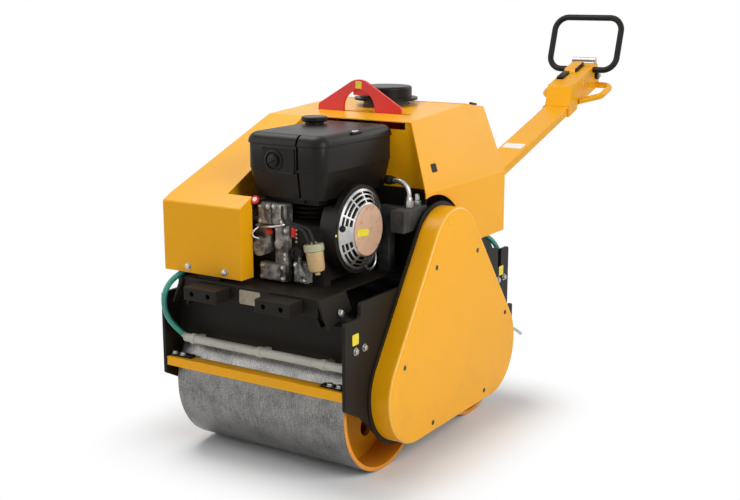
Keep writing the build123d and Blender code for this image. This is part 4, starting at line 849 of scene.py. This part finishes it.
# knob with its grip, on a pad on the cowl's front
knobSet = {"rows": [(33, 0), (33, 3), (30, 5), (26, 5), (24, 1), (20, 1), (19, 7), (16, 9)],
           "place": (46, -480, 984), "grip": (34, 8, 8), "gripPlace": (46, -489, 984), "gripTurn": 25,
           "gripCorner": 2, "pad": (116, 72, 7), "padPlace": (62, -477, 984), "padChamfer": 0.4,
           "padCorner": 18, "padEdge": 2.5}
pad = boxed(knobSet["pad"], knobSet["padChamfer"], 1)
roundUprights(pad, knobSet["padCorner"], 5)
bevelEdges(pad, knobSet["padEdge"], 3, 60)
lay(pad, at(*knobSet["padPlace"]), ahead)
knob = lay(turned(knobSet["rows"], 36), at(*knobSet["place"]), ahead)
grip = boxed(knobSet["grip"], knobSet["gripCorner"])
lay(grip, at(*knobSet["gripPlace"]), ahead, math.radians(knobSet["gripTurn"]))
settle(join([pad, knob, grip]), "cowlKnob", "black_plastic")

latchSet = {"corner": 2, "bar": ((12, 56, 8), (213, -285, 1058)), "clip": ((9, 24, 9), (214, -292, 1061))}
for part, name, slot in (("bar", "lidLatchBar", "black_plastic"), ("clip", "lidLatchClip", "bright_steel")):
    size, place = latchSet[part]
    settle(lay(boxed(size, latchSet["corner"]), at(*place)), name, slot)
print("cowl made")

# engine front: pipes, bolts, caps and levers on the castings
engineSet = {
    "injection": [(-28, -462, 770), (0, -478, 776), (58, -476, 782), (64, -458, 786)], "injectionRadius": 4,
    "return": [(-28, -464, 770), (-38, -486, 758), (-30, -492, 742), (-16, -470, 735)], "returnRadius": 3.2,
    "lever": [(112, -440, 694), (128, -470, 674), (142, -474, 648), (150, -462, 628)], "leverRadius": 6,
    "bolts": [(-20, -467, 838), (10, -467, 838), (-20, -467, 791), (28, -461, 838), (58, -461, 838),
              (58, -461, 792), (34, -453, 768), (66, -453, 766), (-18, -465, 651), (62, -465, 651),
              (-18, -465, 616), (62, -465, 616), (108, -461, 666), (142, -461, 620), (64, -453, 690),
              (64, -453, 676)],
    "boltRadius": 6.2,
    "screws": [(91, -433, 779 - 12 * k) for k in range(5)], "screwRadius": 4,
    "knob": [(23, 0), (23, 16), (19, 22), (13, 22), (12, 18), (5, 18)], "knobPlace": (107, -433, 700),
    "redCap": [(9, 0), (9, 12), (7, 15)], "redCapPlace": (13, -459, 760),
    "redBlock": (12, 12, 34), "redBlockPlace": (84, -438, 762), "redBlockCorner": 2,
    "filler": [(-24, -452, 836), (-24, -468, 848), (-24, -482, 857)], "fillerRadius": 9,
    "fillerRing": [(13.5, 0), (13.5, 4), (12, 6), (9, 6), (8, 4)], "fillerEye": [(7.5, 4), (7, 6.5)],
    "fillerAim": (0, -0.84, 0.54),
}
pipes = [pipe(engineSet[part], engineSet[part + "Radius"]) for part in ("injection", "return")]
settle(join(pipes), "injectionPipes", "bright_steel")
settle(pipe(engineSet["lever"], engineSet["leverRadius"]), "governorLever", "cast_aluminium")
bolt = hexBolt(engineSet["boltRadius"])
strew(bolt, "engineBolts", [(at(*place), ahead) for place in engineSet["bolts"]], "bright_steel")
away(bolt)
screw = panScrew(engineSet["screwRadius"])
rows = [(at(*place), ahead) for place in engineSet["screws"]]
strew(screw, "engineScrews", rows, "bright_steel", look["tan_plate"])
away(screw)
settle(lay(turned(engineSet["knob"]), at(*engineSet["knobPlace"]), ahead), "drainKnob", "black_plastic")
redCap = lay(turned(engineSet["redCap"]), at(*engineSet["redCapPlace"]), ahead)
redBlock = boxed(engineSet["redBlock"], engineSet["redBlockCorner"])
lay(redBlock, at(*engineSet["redBlockPlace"]))
fillerMouth = at(*engineSet["filler"][-1])
fillerRing = lay(turned(engineSet["fillerRing"]), fillerMouth, engineSet["fillerAim"])
settle(join([redCap, redBlock, fillerRing]), "redCaps", "red_paint")
settle(pipe(engineSet["filler"], engineSet["fillerRadius"]), "fillerNeck", "black_plastic")
fillerEye = lay(turned(engineSet["fillerEye"]), fillerMouth, engineSet["fillerAim"])
settle(fillerEye, "fillerEye", "grey_plastic", look["whiteSticker"])
print("engine front made")

# fuel filter: bowl under a cap, leaning as its bracket does
filterSet = {"lean": (-0.156, 0, 0.988), "shift": 0.007, "rows": [
    (7, -98), (8, -97), (8, -89), (15, -89), (23, -85), (25, -78), (27, -27), (29, -26), (31, -24), (31, -7),
    (29, -4), (11, -3), (10, 1), (6, 4)]}
filterPlace = (filterLow + filterHigh) / 2
filterPlace.x -= filterSet["shift"]
filterPlace.z = filterHigh.z
fuelFilter = lay(turned(filterSet["rows"], 36), filterPlace, filterSet["lean"])
settle(fuelFilter, "fuelFilterWorked", "filter_bowl", angle=30)
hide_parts("fuel_filter")

# fan knob and mark
fanSet = {"knob": [(10, 0), (10, 9), (7, 13)], "knobPlace": (250, -426, 788), "mark": (246, -446, 769),
          "markRadius": 4.5}
settle(lay(turned(fanSet["knob"]), at(*fanSet["knobPlace"]), left), "fanKnob", "black_plastic")
screw = panScrew(fanSet["markRadius"])
strew(screw, "fanMark", [(at(*fanSet["mark"]), left)], "yellow_paint", look["yellowSticker"])
away(screw)

# hydraulic fittings at both ends of the elbow, rear lever
fittingSet = {
    "nut": [(13, 0), (15, 2), (15, 20), (13, 22)], "collar": [(11, 22), (11, 32), (9.5, 34)],
    "stub": [(13, 0), (14, 2), (14, 16), (9, 18), (9, 34), (7, 37)], "stubPlace": (312, -84),
    "banjo": [(14, 0), (15, 2), (15, 18), (12, 22), (12, 30)], "banjoIn": 4,
}
elbowLow, elbowHigh = span("hydraulic_elbow")
elbowY = (elbowLow[1] + elbowHigh[1]) / 2
elbowRadius = (elbowHigh[1] - elbowLow[1]) / 2
elbowFoot = at(elbowHigh[0] - elbowRadius, elbowY, elbowLow[2])
nut = lay(turned(fittingSet["nut"], 6), elbowFoot)
collar = lay(turned(fittingSet["collar"]), elbowFoot)
stub = lay(turned(fittingSet["stub"], 6), at(*fittingSet["stubPlace"], elbowLow[2]))
settle(join([nut, collar, stub]), "hydraulicNuts", "bright_steel")
banjoPlace = at(elbowLow[0] + fittingSet["banjoIn"], elbowY, elbowHigh[2] - elbowRadius)
settle(lay(turned(fittingSet["banjo"]), banjoPlace, left), "banjoFitting", "black_plastic")
rearLever = {"route": [(346, 556, 258), (346, 600, 240), (346, 652, 208)], "radius": 6}
settle(pipe(rearLever["route"], rearLever["radius"]), "rearLever", "bright_steel")

# handle head: switch pad, a black strip painted as the shadow along the flap's edge, cheek bolts
headSet = {"switch": ((30, 82, 14), (-34, 1390, 104)), "edge": ((7, 96, 17), (4.5, 1496, 106)), "corner": 2.5,
           "bolt": (72, 1554, 49), "boltRadius": 11, "screw": (60, 1399, 62), "screwRadius": 5}


def bothCheeks(across, along, up):
    return [(onArm(across, along, up), left), (onArm(-across, along, up), right)]


pieces = []
# the edge piece is that black strip, a painted shadow at the flap's right edge
for size, place in (headSet["switch"], headSet["edge"]):
    piece = boxed(size, headSet["corner"])
    piece.data.transform(Matrix.Translation(onArm(*place)) @ Matrix.Rotation(armTilt, 4, "X"))
    pieces.append(piece)
settle(join(pieces), "headSwitchAndFlapShadow", "black_plastic", body="handle")
bolt = hexBolt(headSet["boltRadius"])
strew(bolt, "bossBolts", bothCheeks(*headSet["bolt"]), "bright_steel", body="handle")
away(bolt)
screw = panScrew(headSet["screwRadius"])
strew(screw, "cheekScrews", bothCheeks(*headSet["screw"]), "bright_steel", body="handle")
away(screw)
print("fittings and head details made")

# pale floor that keeps the shadow near the machine and fades to white beyond it, metres
floorSet = {"size": 60, "colour": rgb(246, 246, 246), "patch": rgb(236, 236, 236), "patchShare": 0.04,
            "half": (0.38, 0.46), "fade": 0.34}
bpy.ops.object.select_all(action="DESELECT")
bpy.ops.mesh.primitive_plane_add(size=floorSet["size"], location=(0, 0, 0))
floor = bpy.context.object
floor.name = "floor"
floorFinish = Finish("paleFloor")
patches = floorFinish.noise(3, 3) * floorSet["patchShare"]
base = floorFinish.mix(patches, floorSet["colour"], floorSet["patch"])
floorFinish.surface(colour=base, rough=0.9, gloss=0.0)
beside = (abs(floorFinish.axis("X") - middle.x) - floorSet["half"][0]).most(0)
beyond = (abs(floorFinish.axis("Y") - middle.y) - floorSet["half"][1]).most(0)
fade = floorFinish.step((beside * beside + beyond * beyond) ** 0.5, 0, floorSet["fade"])
glow = floorFinish.node("ShaderNodeEmission", None, {"Color": (1, 1, 1, 1), "Strength": 1.0})
lit = Wire(floorFinish, floorFinish.shader.outputs[0])
blend = floorFinish.node("ShaderNodeMixShader", None, {0: fade * floorFinish.seen(), 1: lit, 2: glow})
floorFinish.feed(floorFinish.output.inputs[0], blend)
floor.data.materials.append(floorFinish.material)

lampSet = [  # name, place, aim, size, watts
    ("topLight", (-1400, 0, 4000), (0, 0, 600), 2.6, 88),
    ("sideLight", (3500, -1100, 2400), (0, 0, 600), 2.2, 90),
    ("frontLight", (-2300, -2700, 1900), (0, -500, 400), 2.4, 28),
    ("backLight", (1600, 3400, 2400), (0, 200, 800), 2.4, 24),
]
for name, place, aim, size, watts in lampSet:
    bpy.ops.object.light_add(type="AREA", location=at(*place))
    lamp = bpy.context.object
    lamp.name = name
    lamp.data.shape = "DISK"
    lamp.data.size = size
    lamp.data.energy = watts
    lamp.rotation_euler = (at(*aim) - at(*place)).to_track_quat("-Z", "Y").to_euler()

# soft light from all round, white where the camera sees it
worldSet = {"Color": (0.94, 0.96, 1, 1), "Strength": 0.2}
world = bpy.data.worlds.new("studio")
scene.world = world
world.use_nodes = True
studio = NodeTree(world.node_tree)
soft = studio.node("ShaderNodeBackground", None, worldSet)
white = studio.node("ShaderNodeBackground", None, {"Color": (1, 1, 1, 1), "Strength": 1.0})
pick = studio.node("ShaderNodeMixShader", None, {0: studio.seen(), 1: soft, 2: white})
worldOut = studio.tree.nodes.new("ShaderNodeOutputWorld")
studio.feed(worldOut.inputs[0], pick)
scene.view_settings.view_transform = "Standard"
print("floor and light set")
